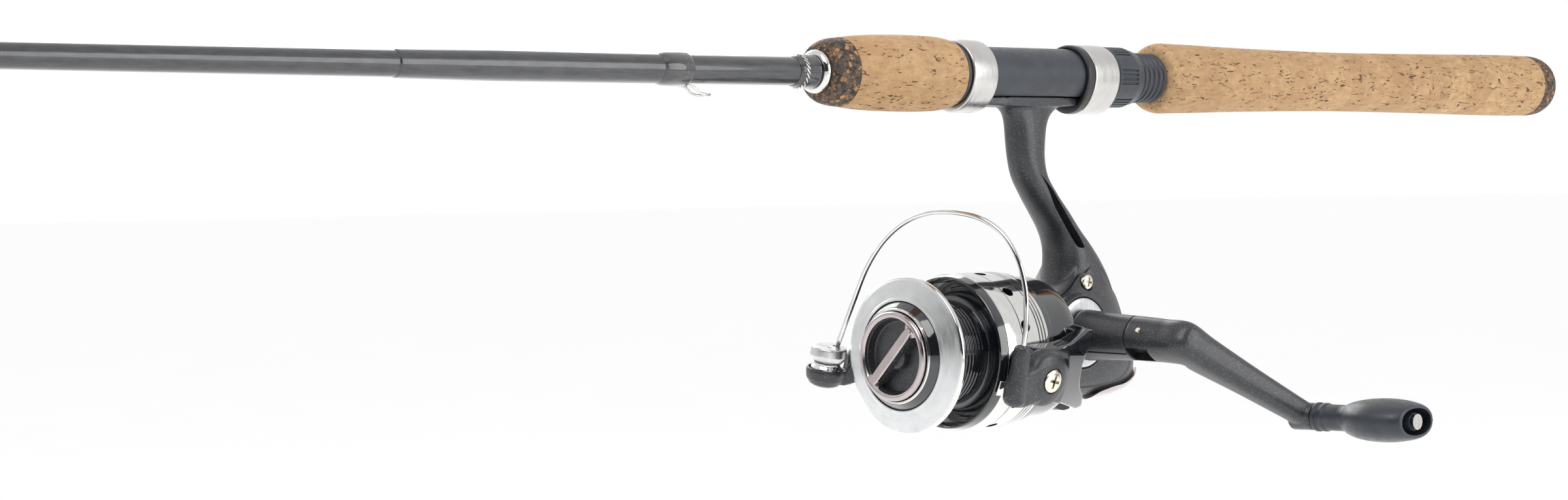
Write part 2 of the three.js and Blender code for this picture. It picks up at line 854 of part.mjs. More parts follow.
// A face gear on a hub that crosses the body, with a small pinion for the oscillation gear.
function driveGear() {
  const disc = rod(DRIVE.plate, DRIVE.face - 1.6, DRIVE.rim, { axis: "y", segments: 30 });
  const teeth = [];
  for (let i = 0; i < DRIVE.teeth; i += 1) {
    const tooth = new THREE.BoxGeometry(DRIVE.rim - DRIVE.inner, 2.1, 0.7);
    tooth.translate((DRIVE.rim + DRIVE.inner) / 2 - 0.1, DRIVE.face - 1.05, 0);
    tooth.rotateY((2 * Math.PI * i) / DRIVE.teeth);
    teeth.push(solid(tooth));
  }
  const hub = rod(-24, 13, HUB_R, { axis: "y", segments: 16 });
  const small = slab(gearOutline(6, 3.1, 4.5, MESH + CRANK.tilt), 4, 7);
  return union(disc, hub, small, ...teeth);
}
add("drive_gear", driveGear(), "zinc", crankFrame);

add(
  "oscillation_gear",
  union(
    slab(
      gearOutline(
        OSCILLATION.teeth,
        OSCILLATION.root,
        OSCILLATION.tip,
        MESH + Math.PI * (1 + 1 / OSCILLATION.teeth),
      ).map(([x, z]) => [x + OSCILLATION.x, z + OSCILLATION.z]),
      4,
      7,
    ),
    rod(3, 4.5, 1.5, { axis: "y", at: [OSCILLATION.x, 0, OSCILLATION.z + 6.5], segments: 12 }),
    rod(6, 9.2, 2.4, { axis: "y", at: [OSCILLATION.x, 0, OSCILLATION.z], segments: 12 }),
  ),
  "zinc",
);

const SHAFT_R = 1.8;
add("main_shaft", rod(-70.4, 21, SHAFT_R, { ...spinAxis, segments: 16 }), "steel");
add(
  "crosswind_block",
  cut(
    box([15, -2.9, SPIN_Z - 5], [20, 2.6, SPIN_Z + 7.5]),
    rod(14, 24, SHAFT_R + GAP, spinAxis),
    box([16.4, 0.6, SPIN_Z - 4], [18.6, 4, SPIN_Z + 6.5]),
  ),
  "brass",
);

// ---------------------------------------------------------------- rotor and bail, in the rotor's own frame
const BACK_R = ROTOR.cupR - 2.8; // the rotor's open back
const PINION_R = 2.9;
add(
  "pinion_gear",
  cut(
    union(
      rod(-27.6, -6, PINION_R, { segments: 20 }),
      (() => {
        const star = new THREE.Shape(gearOutline(6, 2.3, 3.05).map((p) => new THREE.Vector2(...p)));
        const geometry = new THREE.ExtrudeGeometry(star, { depth: 5.8, bevelEnabled: false });
        geometry.rotateY(Math.PI / 2);
        geometry.translate(-7.2, 0, 0);
        return solid(geometry);
      })(),
    ),
    rod(-29, 0, SHAFT_R + GAP - 0.1, { segments: 16 }),
  ),
  "brass",
  rotorFrame,
);

// A cup that runs inside the spool's skirt, hollow at the back round the body's nose.
function rotorCup() {
  const R = ROTOR.cupR;
  return turned(
    [
      [ROTOR.front, R - 1.8],
      [ROTOR.front, R],
      [-9, R],
      [ROTOR.rear, R - 1.2],
      [ROTOR.rear, R - 2.8],
      [-9, NOSE.r + 2],
      [-12.7, NOSE.r + 1.2],
      [-12.7, PINION_R + GAP],
      [-23, PINION_R + GAP],
      [-23, 7],
      [-16.2, 8.5],
      [-16.2, R - 1.8],
      [ROTOR.front, R - 1.8],
    ],
    { segments: 26 },
  );
}

// Side view of a rotor arm: an ear round the bail's pivot, and two horns with a notch between them behind.
const ARM_OUTLINE = new THREE.Shape();
ARM_OUTLINE.moveTo(ROTOR.pivot, ROTOR.ear);
ARM_OUTLINE.absarc(ROTOR.pivot, 0, ROTOR.ear, Math.PI / 2, (3 * Math.PI) / 2);
ARM_OUTLINE.lineTo(-22, -9.6);
ARM_OUTLINE.lineTo(-9, -13.5);
ARM_OUTLINE.lineTo(-5.4, -13);
ARM_OUTLINE.absarc(-4.4, 0, 9.2, -Math.PI / 2 - 0.5, Math.PI / 2 + 0.5, true);
ARM_OUTLINE.lineTo(-5.4, 13);
ARM_OUTLINE.lineTo(-9, 13.5);
ARM_OUTLINE.lineTo(-22, 9.6);

const armWindow = ring(-60, -12.7, ROTOR.armIn, ROTOR.cupR - 0.1, { segments: 26 });
function rotorArm(side) {
  const inner = ROTOR.cupR - 2;
  const blank =
    side < 0 ? slab(ARM_OUTLINE, -ROTOR.armOut, -inner) : slab(ARM_OUTLINE, inner, ROTOR.armOut);
  return cut(
    blank.intersect(rod(-60, 0, 33.2, { segments: 48 })),
    armWindow,
    rod(-60, -12.6, ROTOR.cupR + 0.1, { segments: 26 }),
    rod(-14, 0, BACK_R, { segments: 32 }),
  );
}

const pivotAxis = { axis: "y", at: [ROTOR.pivot, 0, 0], segments: 16 };
const SPRING = { outer: 6.4, inner: 3.4, from: -31.2, to: -28.8 };
add(
  "rotor",
  cut(
    union(rotorCup(), rotorArm(-1), rotorArm(1)),
    rod(-40, 40, 1.9, pivotAxis),
    ring(SPRING.from - 2, SPRING.to + GAP, SPRING.outer + GAP, SPRING.inner - GAP, pivotAxis),
  ),
  "gloss",
  rotorFrame,
);
add(
  "bail_spring",
  ring(SPRING.from, SPRING.to, SPRING.outer, SPRING.inner, { ...pivotAxis, segments: 20 }),
  "steel",
  rotorFrame,
);
add(
  "rotor_nut",
  cut(rod(-27.2, -23.4, 5.8, { segments: 6 }), rod(-28, -23, PINION_R + GAP)),
  "brass",
  rotorFrame,
);

// The wire's own arm: an ear on the pivot, a lobe in front of it, and a post for the wire's end.
const EAR_IN = ROTOR.armOut + GAP;
const EAR_OUT = 37.6;
const nearLobe = new THREE.Shape();
nearLobe.moveTo(ROTOR.pivot, 9.4);
nearLobe.absarc(ROTOR.pivot, 0, 9.4, Math.PI / 2, -Math.PI / 2, true);
nearLobe.lineTo(-45, -9.2);
nearLobe.lineTo(-50.6, -6.6);
nearLobe.lineTo(-50.2, 1);
nearLobe.lineTo(-43, 4.4);
const POST = { x: -47.2, y: -34.4, r: 3.1, top: 11.4, bottom: -7 };
add(
  "bail_arm_wire_side",
  cut(
    union(
      slab(nearLobe, -EAR_OUT, -EAR_IN, { round: 1.6, steps: 1 }),
      turned(
        [
          [POST.bottom, 0],
          [POST.bottom, POST.r + 0.3],
          [POST.top, POST.r - 0.4],
          [POST.top, 0],
        ],
        { axis: "z", at: [POST.x, POST.y, 0], segments: 16 },
      ),
    ),
    rod(-40, -30, 2.3, pivotAxis),
    rod(-39, -36.9, 4.3, pivotAxis),
    rod(POST.top - 3, POST.top + 1, 1.2, { axis: "z", at: [POST.x + 0.6, POST.y + 0.4, 0], segments: 10 }),
    box([-60, -EAR_IN, -20], [-30, -28, 20]), // keeps the post clear of the rotor's arm as the bail opens
  ),
  "sparkle",
  rotorFrame,
);

// The roller's arm ends in a cup in front, with a pin that carries the roller and its cap.
const ROLLER = { x: -60.2, y: 38.5, cup: 6.6, floor: -16.8, rim: -14.8 };
const rollerAxis = { axis: "z", at: [ROLLER.x, ROLLER.y, 0], segments: 20 };
const farLobe = new THREE.Shape();
farLobe.moveTo(ROTOR.pivot, 9.4);
farLobe.absarc(ROTOR.pivot, 0, 9.4, Math.PI / 2, -Math.PI / 2, true);
farLobe.lineTo(-46, -16);
farLobe.lineTo(-58, -20);
farLobe.lineTo(-58, -14.4);
farLobe.lineTo(-49, -3);
add(
  "bail_arm_roller_side",
  cut(
    union(
      cut(
        slab(farLobe, EAR_IN, EAR_OUT, { round: 1.6, steps: 1 }),
        rod(ROLLER.floor, 20, ROLLER.cup + GAP, rollerAxis),
      ),
      turned(
        [
          [-21, 0],
          [-21, 4.2],
          [-18.6, 6.1],
          [ROLLER.rim, ROLLER.cup],
          [ROLLER.rim, 5.9],
          [ROLLER.floor, 5.6],
          [ROLLER.floor, 0],
        ],
        rollerAxis,
      ),
      rod(ROLLER.floor - 1, -9.8, 1.3, rollerAxis),
    ),
    rod(30, 40, 2.3, pivotAxis),
    rod(36.9, 39, 4.3, pivotAxis),
  ),
  "sparkle",
  rotorFrame,
);

add(
  "line_roller",
  turned(
    [
      [ROLLER.floor + GAP, 1.6],
      [ROLLER.floor + GAP, 5.1],
      [-14.6, 5.3],
      [-14.1, 4.9],
      [-13.5, 4.5],
      [-13.0, 4.7],
      [-12.8, 4.7],
      [-12.8, 1.6],
      [ROLLER.floor + GAP, 1.6],
    ],
    rollerAxis,
  ),
  "chrome",
  rotorFrame,
);

const CAP_TOP = -7.4;
const WIRE_FOOT = [-57.2, 38.3];
add(
  "roller_cap",
  cut(
    turned(
      [
        [-12.5, 0],
        [-12.5, 5.1],
        [-10.4, 6.15],
        [CAP_TOP - 0.4, 5.9],
        [CAP_TOP, 5.5],
        [CAP_TOP, 0],
      ],
      rollerAxis,
    ),
    rod(-13, -9.5, 1.3 + GAP, rollerAxis),
    rod(CAP_TOP - 2.2, CAP_TOP + 1, 1.35, { axis: "z", at: [...WIRE_FOOT, 0], segments: 10 }),
  ),
  "silver",
  rotorFrame,
);

const BAIL_WIRE = [
  [POST.x + 0.6, POST.y + 0.4, 9],
  [-46.5, -33.9, 12.5],
  [-46.1, -33, 19],
  [-46, -30, 29.7],
  [-46.4, -25, 38.2],
  [-47.2, -18.6, 44],
  [-48.5, -10.4, 47],
  [-50.2, 0.6, 47],
  [-52.2, 11.5, 44.2],
  [-53.6, 20, 38.8],
  [-54.7, 26.6, 31],
  [-55.5, 31.4, 21],
  [-56, 34.4, 9.6],
  [-56.6, 36.6, -0.5],
  [WIRE_FOOT[0], WIRE_FOOT[1], -9],
];
add("bail_wire", wire(BAIL_WIRE, 0.85, { steps: 40, sides: 6 }), "chrome", rotorFrame);

const screwHead = (side) => {
  const [low, high] = side < 0 ? [-38.4, -37.2] : [37.2, 38.4];
  const head = rod(low, high, 3.8, { ...pivotAxis, segments: 20 });
  const shank = side < 0 ? rod(-37.5, -28.2, 1.6, pivotAxis) : rod(28.2, 37.5, 1.6, pivotAxis);
  const face = side < 0 ? [-39, -37.9] : [37.9, 39];
  const slots = [
    box([ROTOR.pivot - 2.3, face[0], -0.4], [ROTOR.pivot + 2.3, face[1], 0.4]),
    box([ROTOR.pivot - 0.4, face[0], -2.3], [ROTOR.pivot + 0.4, face[1], 2.3]),
  ];
  return cut(union(head, shank), ...slots);
};
add("bail_screw_wire_side", screwHead(-1), "brass", rotorFrame);
add("bail_screw_roller_side", screwHead(1), "brass", rotorFrame);

// ---------------------------------------------------------------- spool and drag
const DRAG = { recess: 15, knob: 14.5 };

add(
  "spool_body",
  turned(
    [
      [-68.6, DRAG.recess],
      [-68.6, 15.9],
      [-66.2, 17.6],
      [-61.4, 17.6],
      [-61.4, SPOOL.arborR],
      [-43, SPOOL.arborR],
      [-42.4, SPOOL.arborR + 1.4],
      [-44.5, 23],
      [SPOOL.flange, 24.6],
      [SPOOL.flange + 0.6, 25],
      [-42.8, SPOOL.skirtR],
      [SPOOL.skirtEnd, SPOOL.skirtR],
      [SPOOL.skirtEnd, 24.5],
      [-40, 24.5],
      [-41, 23],
      [-40, 15],
      [-40, 12],
      [-44, 4.2],
      [-44, SHAFT_R + GAP],
      [-56, SHAFT_R + GAP],
      [-56, DRAG.recess],
      [-68.6, DRAG.recess],
    ],
    { segments: 26 },
  ),
  "gloss",
  spoolFrame,
);

add(
  "spool_lip",
  turned(
    [
      [-66.4, 17.9],
      [-66.1, 18.6],
      [-64.3, 25],
      [-63.4, SPOOL.lipR],
      [-62.2, 25.2],
      [-61.7, 24.4],
      [-61.7, 17.9],
      [-66.4, 17.9],
    ],
    { segments: 26 },
  ),
  "silver",
  spoolFrame,
);

const CLIP_ANGLE = THREE.MathUtils.degToRad(24.5);
function lineClip() {
  const geometry = new THREE.BoxGeometry(5.6, 1.0, 5);
  geometry.translate(-43, -(SPOOL.skirtR + 0.8), 0);
  geometry.rotateX(CLIP_ANGLE);
  return solid(geometry);
}
add("line_clip", lineClip(), "chrome", spoolFrame);

add("drag_washer", ring(-58.4, -56.3, 14.2, SHAFT_R + GAP, { segments: 20 }), "felt", spoolFrame);
add("drag_spring", ring(-62.6, -58.8, 5.4, 4.2, { segments: 16 }), "steel", spoolFrame);

// The knob is a cup with a fin across it. A bright ring caps its rim.
function dragKnob() {
  const cup = turned(
    [
      [-63, SHAFT_R + GAP],
      [-63, DRAG.knob - 0.6],
      [-69.2, DRAG.knob - 0.6],
      [-69.2, 12.2],
      [-66.4, 11.6],
      [-66.4, SHAFT_R + GAP],
      [-63, SHAFT_R + GAP],
    ],
    { segments: 26 },
  );
  const fin = new THREE.BoxGeometry(5.2, 3.4, 23.2);
  fin.translate(-68.8, 0, 0);
  fin.rotateX(Math.PI / 4);
  const hub = rod(-71.4, -66, 3.6, { segments: 20 });
  return cut(union(cup, solid(fin), hub), rod(-70.7, -60, SHAFT_R + GAP, { segments: 16 }));
}
add("drag_knob", dragKnob(), "sparkle", spoolFrame);
add(
  "drag_knob_ring",
  turned(
    [
      [-69.5, 12.4],
      [-70.3, 12.5],
      [-70.8, 13.4],
      [-70.3, 14.4],
      [-69.5, 14.5],
      [-69.5, 12.4],
    ],
    { segments: 26 },
  ),
  "rose",
  spoolFrame,
);

// ---------------------------------------------------------------- crank, in its own frame
const SHANK = { inner: -15.9, seam: -38.6, elbow: -57 };
const FOLD = { y: -44.8, z: -2.35 }; // axis of the fold pin, along the arm

// A ring of the shank, whose centre line droops below the crank's axle as it leaves the body.
const crankRing = (y, half, droop) =>
  section(
    [droop * Math.sin(CRANK.tilt), y, -droop * Math.cos(CRANK.tilt)],
    [1, 0, 0],
    [0, 0, 1],
    half,
    half,
    2.4,
    16,
  );

// The shank is bored for the drive gear's hub. Its tongue enters the arm, and the arm's heel swings in a
// hollow round the tongue when the arm folds.
const foldAxis = { at: [0, FOLD.y, FOLD.z], segments: 18 };
const heelHollow = turned(
  [
    [-7.6, 0],
    [-7.6, 5.4],
    [-5, 7.7],
    [-2, 8.9],
    [3.4, 8.7],
    [6, 7.4],
    [8.4, 5.4],
    [8.4, 0],
  ],
  foldAxis,
);
const tongue = union(
  box([-3, FOLD.y, FOLD.z - 3.1], [3, SHANK.seam + 5, FOLD.z + 3.1]),
  rod(-3, 3, 3.1, foldAxis),
);
add(
  "crank_shank",
  cut(
    union(
      cut(
        loft([
          crankRing(SHANK.seam, 7.05, 1.3),
          crankRing(-17.5, 8.1, 0.75),
          crankRing(SHANK.inner, 6.8, 0.6),
        ]),
        heelHollow,
      ),
      tongue,
    ),
    rod(-24.3, -10, HUB_R + GAP, { axis: "y", segments: 16 }),
    rod(-8, 8, 1.2 + GAP, { ...foldAxis, segments: 12 }),
  ),
  "sparkle",
  crankFrame,
);

const SPREAD = 17.6; // how far the arm leans outwards over its length
const REACH = CRANK.reach;
const along = new THREE.Vector3(REACH, -SPREAD, 0).normalize();
const across = new THREE.Vector3(-along.y, along.x, 0);
const armRing = (share, width, height) => {
  const centre = [REACH * share, SHANK.elbow - SPREAD * share, -1.9 * (1 - share)];
  return section(centre, across.toArray(), [0, 0, 1], width, height, 3, 16);
};
add(
  "crank_arm",
  cut(
    union(
      loft([
        crankRing(SHANK.seam - GAP, 7.05, 1.3),
        crankRing(-47, 6.9, 1.7),
        crankRing(-53, 6.8, 2.1),
        section([2.2, -59.2, -1.9], [0.9, 0.45, 0], [0, 0, 1], 7.2, 6.4, 2.8, 16),
        armRing(0.18, 6.0, 5.8),
        armRing(0.5, 4.9, 4.9),
        armRing(0.86, 4.0, 4.2),
        armRing(1.07, 3.4, 3.8),
      ]),
      rod(-71.5, SHANK.elbow - SPREAD - 4.2, 4.3, { axis: "y", at: [REACH, 0, 0], segments: 20 }),
    ),
    box([-3.4, FOLD.y - 3.5, -12], [3.4, SHANK.seam + 1, FOLD.z + 3.5]),
    rod(-8, 8, 1.2 + GAP, { ...foldAxis, segments: 12 }),
    rod(-79, -75.2, 1.5, { axis: "y", at: [REACH, 0, 0], segments: 12 }),
  ),
  "sparkle",
  crankFrame,
);
add("fold_pin", rod(-6.6, 6.9, 1.2, { ...foldAxis, segments: 12 }), "brass", crankFrame);

// The knob turns on a stem with two collars, and its paddle is hollow at the outer end.
const KNOB = { from: -79.2, to: -118, at: [REACH, 0, 0] };
function crankKnob() {
  const wide = [Math.cos(CRANK.tilt), 0, Math.sin(CRANK.tilt)]; // level while the crank is at rest
  const deep = [-Math.sin(CRANK.tilt), 0, Math.cos(CRANK.tilt)];
  const knobRing = (y, a, b) => section([REACH, y, 0], wide, deep, a, b, 2.2, 16);
  const shell = loft([
    knobRing(-90.5, 4.3, 4.2),
    knobRing(-94, 7.4, 5.4),
    knobRing(-99, 11, 6.5),
    knobRing(-105, 12.8, 7),
    knobRing(-111, 12.4, 6.8),
    knobRing(-116, 10.6, 6),
    knobRing(KNOB.to, 9, 5.2),
  ]);
  const hollow = loft([knobRing(-108, 5.2, 3.6), knobRing(-113, 9, 4.8), knobRing(KNOB.to - 1, 7.9, 4.3)]);
  const neck = turned(
    [
      [KNOB.from, 1.5],
      [KNOB.from, 4.8],
      [-80.4, 4.8],
      [-80.8, 4.3],
      [-82, 4.3],
      [-82.4, 4.7],
      [-83.6, 4.7],
      [-84, 4.3],
      [-92, 4.3],
      [-92, 1.5],
      [KNOB.from, 1.5],
    ],
    { axis: "y", at: KNOB.at, segments: 20 },
  );
  const tube = ring(-117, -104, 3, 1.5, { axis: "y", at: KNOB.at, segments: 16 });
  const bore = rod(-119, -78, 1.5, { axis: "y", at: KNOB.at, segments: 16 });
  return cut(union(cut(shell, hollow), neck, tube), bore);
}
add("crank_knob", crankKnob(), "seat", crankFrame);
add(
  "knob_axle",
  union(
    rod(-117.6, -76, 1.15, { axis: "y", at: KNOB.at, segments: 12 }),
    rod(-118.4, -117.4, 2.6, { axis: "y", at: KNOB.at, segments: 12 }),
  ),
  "steel",
  crankFrame,
);

export default object;
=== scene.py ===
"""The looks of a spinning rod and reel, built round its CAD frame. Sizes are written in millimetres.

X runs along the rod towards the butt, Z is up, and the crank is on the -Y side.
"""

import math

import bmesh
import bpy
from mathutils import Matrix, Vector


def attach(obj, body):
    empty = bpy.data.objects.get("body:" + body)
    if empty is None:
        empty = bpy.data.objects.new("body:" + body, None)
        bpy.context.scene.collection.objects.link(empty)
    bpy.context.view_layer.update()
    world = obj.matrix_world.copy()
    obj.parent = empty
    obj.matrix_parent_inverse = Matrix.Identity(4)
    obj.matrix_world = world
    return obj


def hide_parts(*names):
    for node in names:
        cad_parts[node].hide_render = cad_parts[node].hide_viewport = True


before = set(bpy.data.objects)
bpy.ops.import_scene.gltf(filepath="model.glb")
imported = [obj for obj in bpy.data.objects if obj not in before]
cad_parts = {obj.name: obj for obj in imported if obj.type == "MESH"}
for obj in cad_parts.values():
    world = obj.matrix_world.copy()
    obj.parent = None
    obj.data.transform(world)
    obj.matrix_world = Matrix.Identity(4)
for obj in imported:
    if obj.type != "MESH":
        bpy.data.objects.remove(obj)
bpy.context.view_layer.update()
MM = 0.001

WORLD = Matrix.Identity(4)
SPIN = Matrix.Translation((0, 0, -91))
ROTOR = SPIN @ Matrix.Rotation(math.radians(13.6), 4, "X")
CRANK_TILT = math.radians(33.5)
CRANK = Matrix.Translation((5.5, 0, -86.5)) @ Matrix.Rotation(CRANK_TILT, 4, "Y")


# ---------------------------------------------------------------- forms: points and faces, in mm
def along_y(x, z):
    """Stands a form turned about X on the line through x and z that runs along Y."""
    return Matrix.Translation((x, 0, z)) @ Matrix.Rotation(math.radians(90), 4, "Z")


def along_z(x, y):
    """Stands a form turned about X on the line through x and y that runs along Z."""
    return Matrix.Translation((x, y, 0)) @ Matrix.Rotation(math.radians(-90), 4, "Y")


def through(rows, per):
    """Rows of numbers on a smooth curve through the given rows."""
    u = [0.0]
    for a, b in zip(rows, rows[1:]):
        u.append(u[-1] + math.sqrt(max(math.dist(a, b), 1e-9)))
    last = len(rows) - 1
    slopes = []
    for k in range(last + 1):
        i, j = max(k, 1), min(k, last - 1)
        before = [(b - a) / (u[i] - u[i - 1]) for a, b in zip(rows[i - 1], rows[i])]
        after = [(b - a) / (u[j + 1] - u[j]) for a, b in zip(rows[j], rows[j + 1])]
        share = (u[i] - u[i - 1]) / (u[i] - u[i - 1] + u[j + 1] - u[j])
        slopes.append([p * (1 - share) + q * share for p, q in zip(before, after)])
    out = []
    for k in range(last):
        h = u[k + 1] - u[k]
        for n in range(per):
            t = n / per
            w = (2 * t**3 - 3 * t**2 + 1, t**3 - 2 * t**2 + t, 3 * t**2 - 2 * t**3, t**3 - t**2)
            spans = zip(rows[k], slopes[k], rows[k + 1], slopes[k + 1])
            out.append([w[0] * a + w[1] * h * m + w[2] * b + w[3] * h * n for a, m, b, n in spans])
    out.append(list(rows[last]))
    return out


def eased(profile, radius, closed=False, steps=4):
    """The profile with its corners rounded off."""
    count = len(profile)
    out = []
    for k, p in enumerate(profile):
        if not closed and k in (0, count - 1):
            out.append(p)
            continue
        a, b = profile[k - 1], profile[(k + 1) % count]
        la, lb = math.dist(a, p), math.dist(b, p)
        reach = min(radius, la * 0.45, lb * 0.45)
        if reach < 0.02:
            out.append(p)
            continue
        start = [c + (d - c) * reach / la for c, d in zip(p, a)]
        end = [c + (d - c) * reach / lb for c, d in zip(p, b)]
        for n in range(steps + 1):
            t = n / steps
            w = ((1 - t) ** 2, 2 * t * (1 - t), t * t)
            out.append(tuple(w[0] * s + w[1] * c + w[2] * e for s, c, e in zip(start, p, end)))
    return out


def bridged(rings, wrap=False, capped=True):
    """A form through rings of equally many points."""
    count = len(rings[0])
    points = [p for r in rings for p in r]
    faces = []
    for k in range(len(rings) - (0 if wrap else 1)):
        a, b = k * count, ((k + 1) % len(rings)) * count
        faces += [(a + i, a + (i + 1) % count, b + (i + 1) % count, b + i) for i in range(count)]
    if capped and not wrap:
        last = (len(rings) - 1) * count
        faces += [tuple(range(count - 1, -1, -1)), tuple(range(last, last + count))]
    return points, faces


def turned(profile, segments=96, closed=False, swell=None):
    """A profile of (station, radius) turned about X. swell(x, r, angle) may change the radius."""
    rings = []
    for x, r in profile:
        ring = []
        for i in range(segments):
            angle = 2 * math.pi * i / segments
            reach = swell(x, r, angle) if swell else r
            ring.append((x, reach * math.cos(angle), reach * math.sin(angle)))
        rings.append(ring)
    return bridged(rings, wrap=closed, capped=not closed)


AXIS = 0.01  # how near its axis a solid's profile starts and ends


def spun(profile, segments=96, corner=0.0, swell=None):
    """A solid turned about X, closed on its axis at both ends."""
    whole = [(profile[0][0], AXIS), *profile, (profile[-1][0], AXIS)]
    return turned(eased(whole, corner), segments, swell=swell)


def drum(start, end, r, segments):
    """A plain cylinder about X."""
    return spun([(start, r), (end, r)], segments)


def lathed(profile, corner, segments):
    """A ring turned about X, with its corners rounded off."""
    return turned(eased(profile, corner, True), segments, closed=True)


def section(centre, u, v, a, b, power=2.0, count=64):
    """A superellipse with half widths a and b along the directions u and v."""
    ring = []
    for i in range(count):
        angle = 2 * math.pi * i / count
        c, s = math.cos(angle), math.sin(angle)
        c = math.copysign(abs(c) ** (2 / power), c) * a
        s = math.copysign(abs(s) ** (2 / power), s) * b
        ring.append(tuple(m + c * p + s * q for m, p, q in zip(centre, u, v)))
    return ring


def level(x, z, half_wide, half_high, power, count):
    """A superellipse across the X axis, at height z."""
    return section((x, 0, z), (0, 1, 0), (0, 0, 1), half_wide, half_high, power, count)


def wire(points, radius, per=8, sides=20):
    """A round bar along a smooth curve."""
    path = [Vector(p) for p in through(points, per)]
    normal = (path[1] - path[0]).orthogonal().normalized()
    rings = []
    last = len(path) - 1
    for k, p in enumerate(path):
        ahead = (path[min(k + 1, last)] - path[max(k - 1, 0)]).normalized()
        normal = (normal - ahead * normal.dot(ahead)).normalized()
        side = ahead.cross(normal)
        turn = [2 * math.pi * i / sides for i in range(sides)]
        rings.append([tuple(p + radius * (math.cos(t) * normal + math.sin(t) * side)) for t in turn])
    return bridged(rings)


def slab(outline, low, high):
    """An outline in the XZ plane drawn out along Y."""
    return bridged([[(x, y, z) for x, z in outline] for y in (low, high)])


def block(low, high):
    """A box from its lowest to its highest corner."""
    (a, b, c), (d, e, f) = low, high
    return slab([(a, c), (d, c), (d, f), (a, f)], b, e)


def arc(cx, cz, r, start, end, steps=16):
    """Points on a circle in the plane, angles in degrees."""
    turn = [math.radians(start + (end - start) * i / steps) for i in range(steps + 1)]
    return [(cx + r * math.cos(t), cz + r * math.sin(t)) for t in turn]


def moved(form, matrix):
    """The form at another place."""
    return [tuple(matrix @ Vector(p)) for p in form[0]], form[1]


def joined(*forms):
    """Several forms as one."""
    points, faces = [], []
    for p, f in forms:
        faces += [tuple(i + len(points) for i in face) for face in f]
        points += p
    return points, faces


# ---------------------------------------------------------------- pieces
def raw(name, form, place=WORLD):
    """A mesh object made from a form."""
    mesh = bpy.data.meshes.new(name)
    points = [tuple(c * MM for c in place @ Vector(p)) for p in form[0]]
    mesh.from_pydata(points, [], form[1])
    work = bmesh.new()
    work.from_mesh(mesh)
    bmesh.ops.recalc_face_normals(work, faces=work.faces)
    work.to_mesh(mesh)
    work.free()
    obj = bpy.data.objects.new(name, mesh)
    bpy.context.scene.collection.objects.link(obj)
    return obj


def settled(obj):
    """Turns the piece's modifiers into plain mesh."""
    graph = bpy.context.evaluated_depsgraph_get()
    mesh = bpy.data.meshes.new_from_object(obj.evaluated_get(graph))
    obj.modifiers.clear()
    obj.data = mesh
    return obj


def fused(obj, voxel=0.4, rounds=6):
    """Melts the piece's parts into one casting with soft corners."""
    melt = obj.modifiers.new("melt", "REMESH")
    melt.mode = "VOXEL"
    melt.voxel_size = voxel * MM
    soften = obj.modifiers.new("soften", "SMOOTH")
    soften.factor = 0.5
    soften.iterations = rounds
    return settled(obj)


def carved(obj, form, place=WORLD, operation="DIFFERENCE"):
    """Cuts a form out of the piece, or keeps only what lies inside it."""
    cutter = raw("cutter", form, place)
    cut = obj.modifiers.new("cut", "BOOLEAN")
    cut.operation = operation
    cut.solver = "EXACT"
    cut.object = cutter
    settled(obj)
    bpy.data.objects.remove(cutter)
    return obj


def finished(obj, body, look, stands_for=(), sharp=32):
    """Gives a piece its material, its shading and its place on the frame."""
    mesh = obj.data
    mesh.materials.clear()
    mesh.materials.append(LOOKS[look])
    mesh.polygons.foreach_set("use_smooth", [True] * len(mesh.polygons))
    mesh.set_sharp_from_angle(angle=math.radians(sharp))
    mesh.update()
    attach(obj, body)
    if stands_for:
        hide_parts(*stands_for)
    return obj


def piece(name, body, look, form, place=WORLD, stands_for=(), sharp=32):
    """A finished piece straight from its form."""
    return finished(raw(name, form, place), body, look, stands_for, sharp)


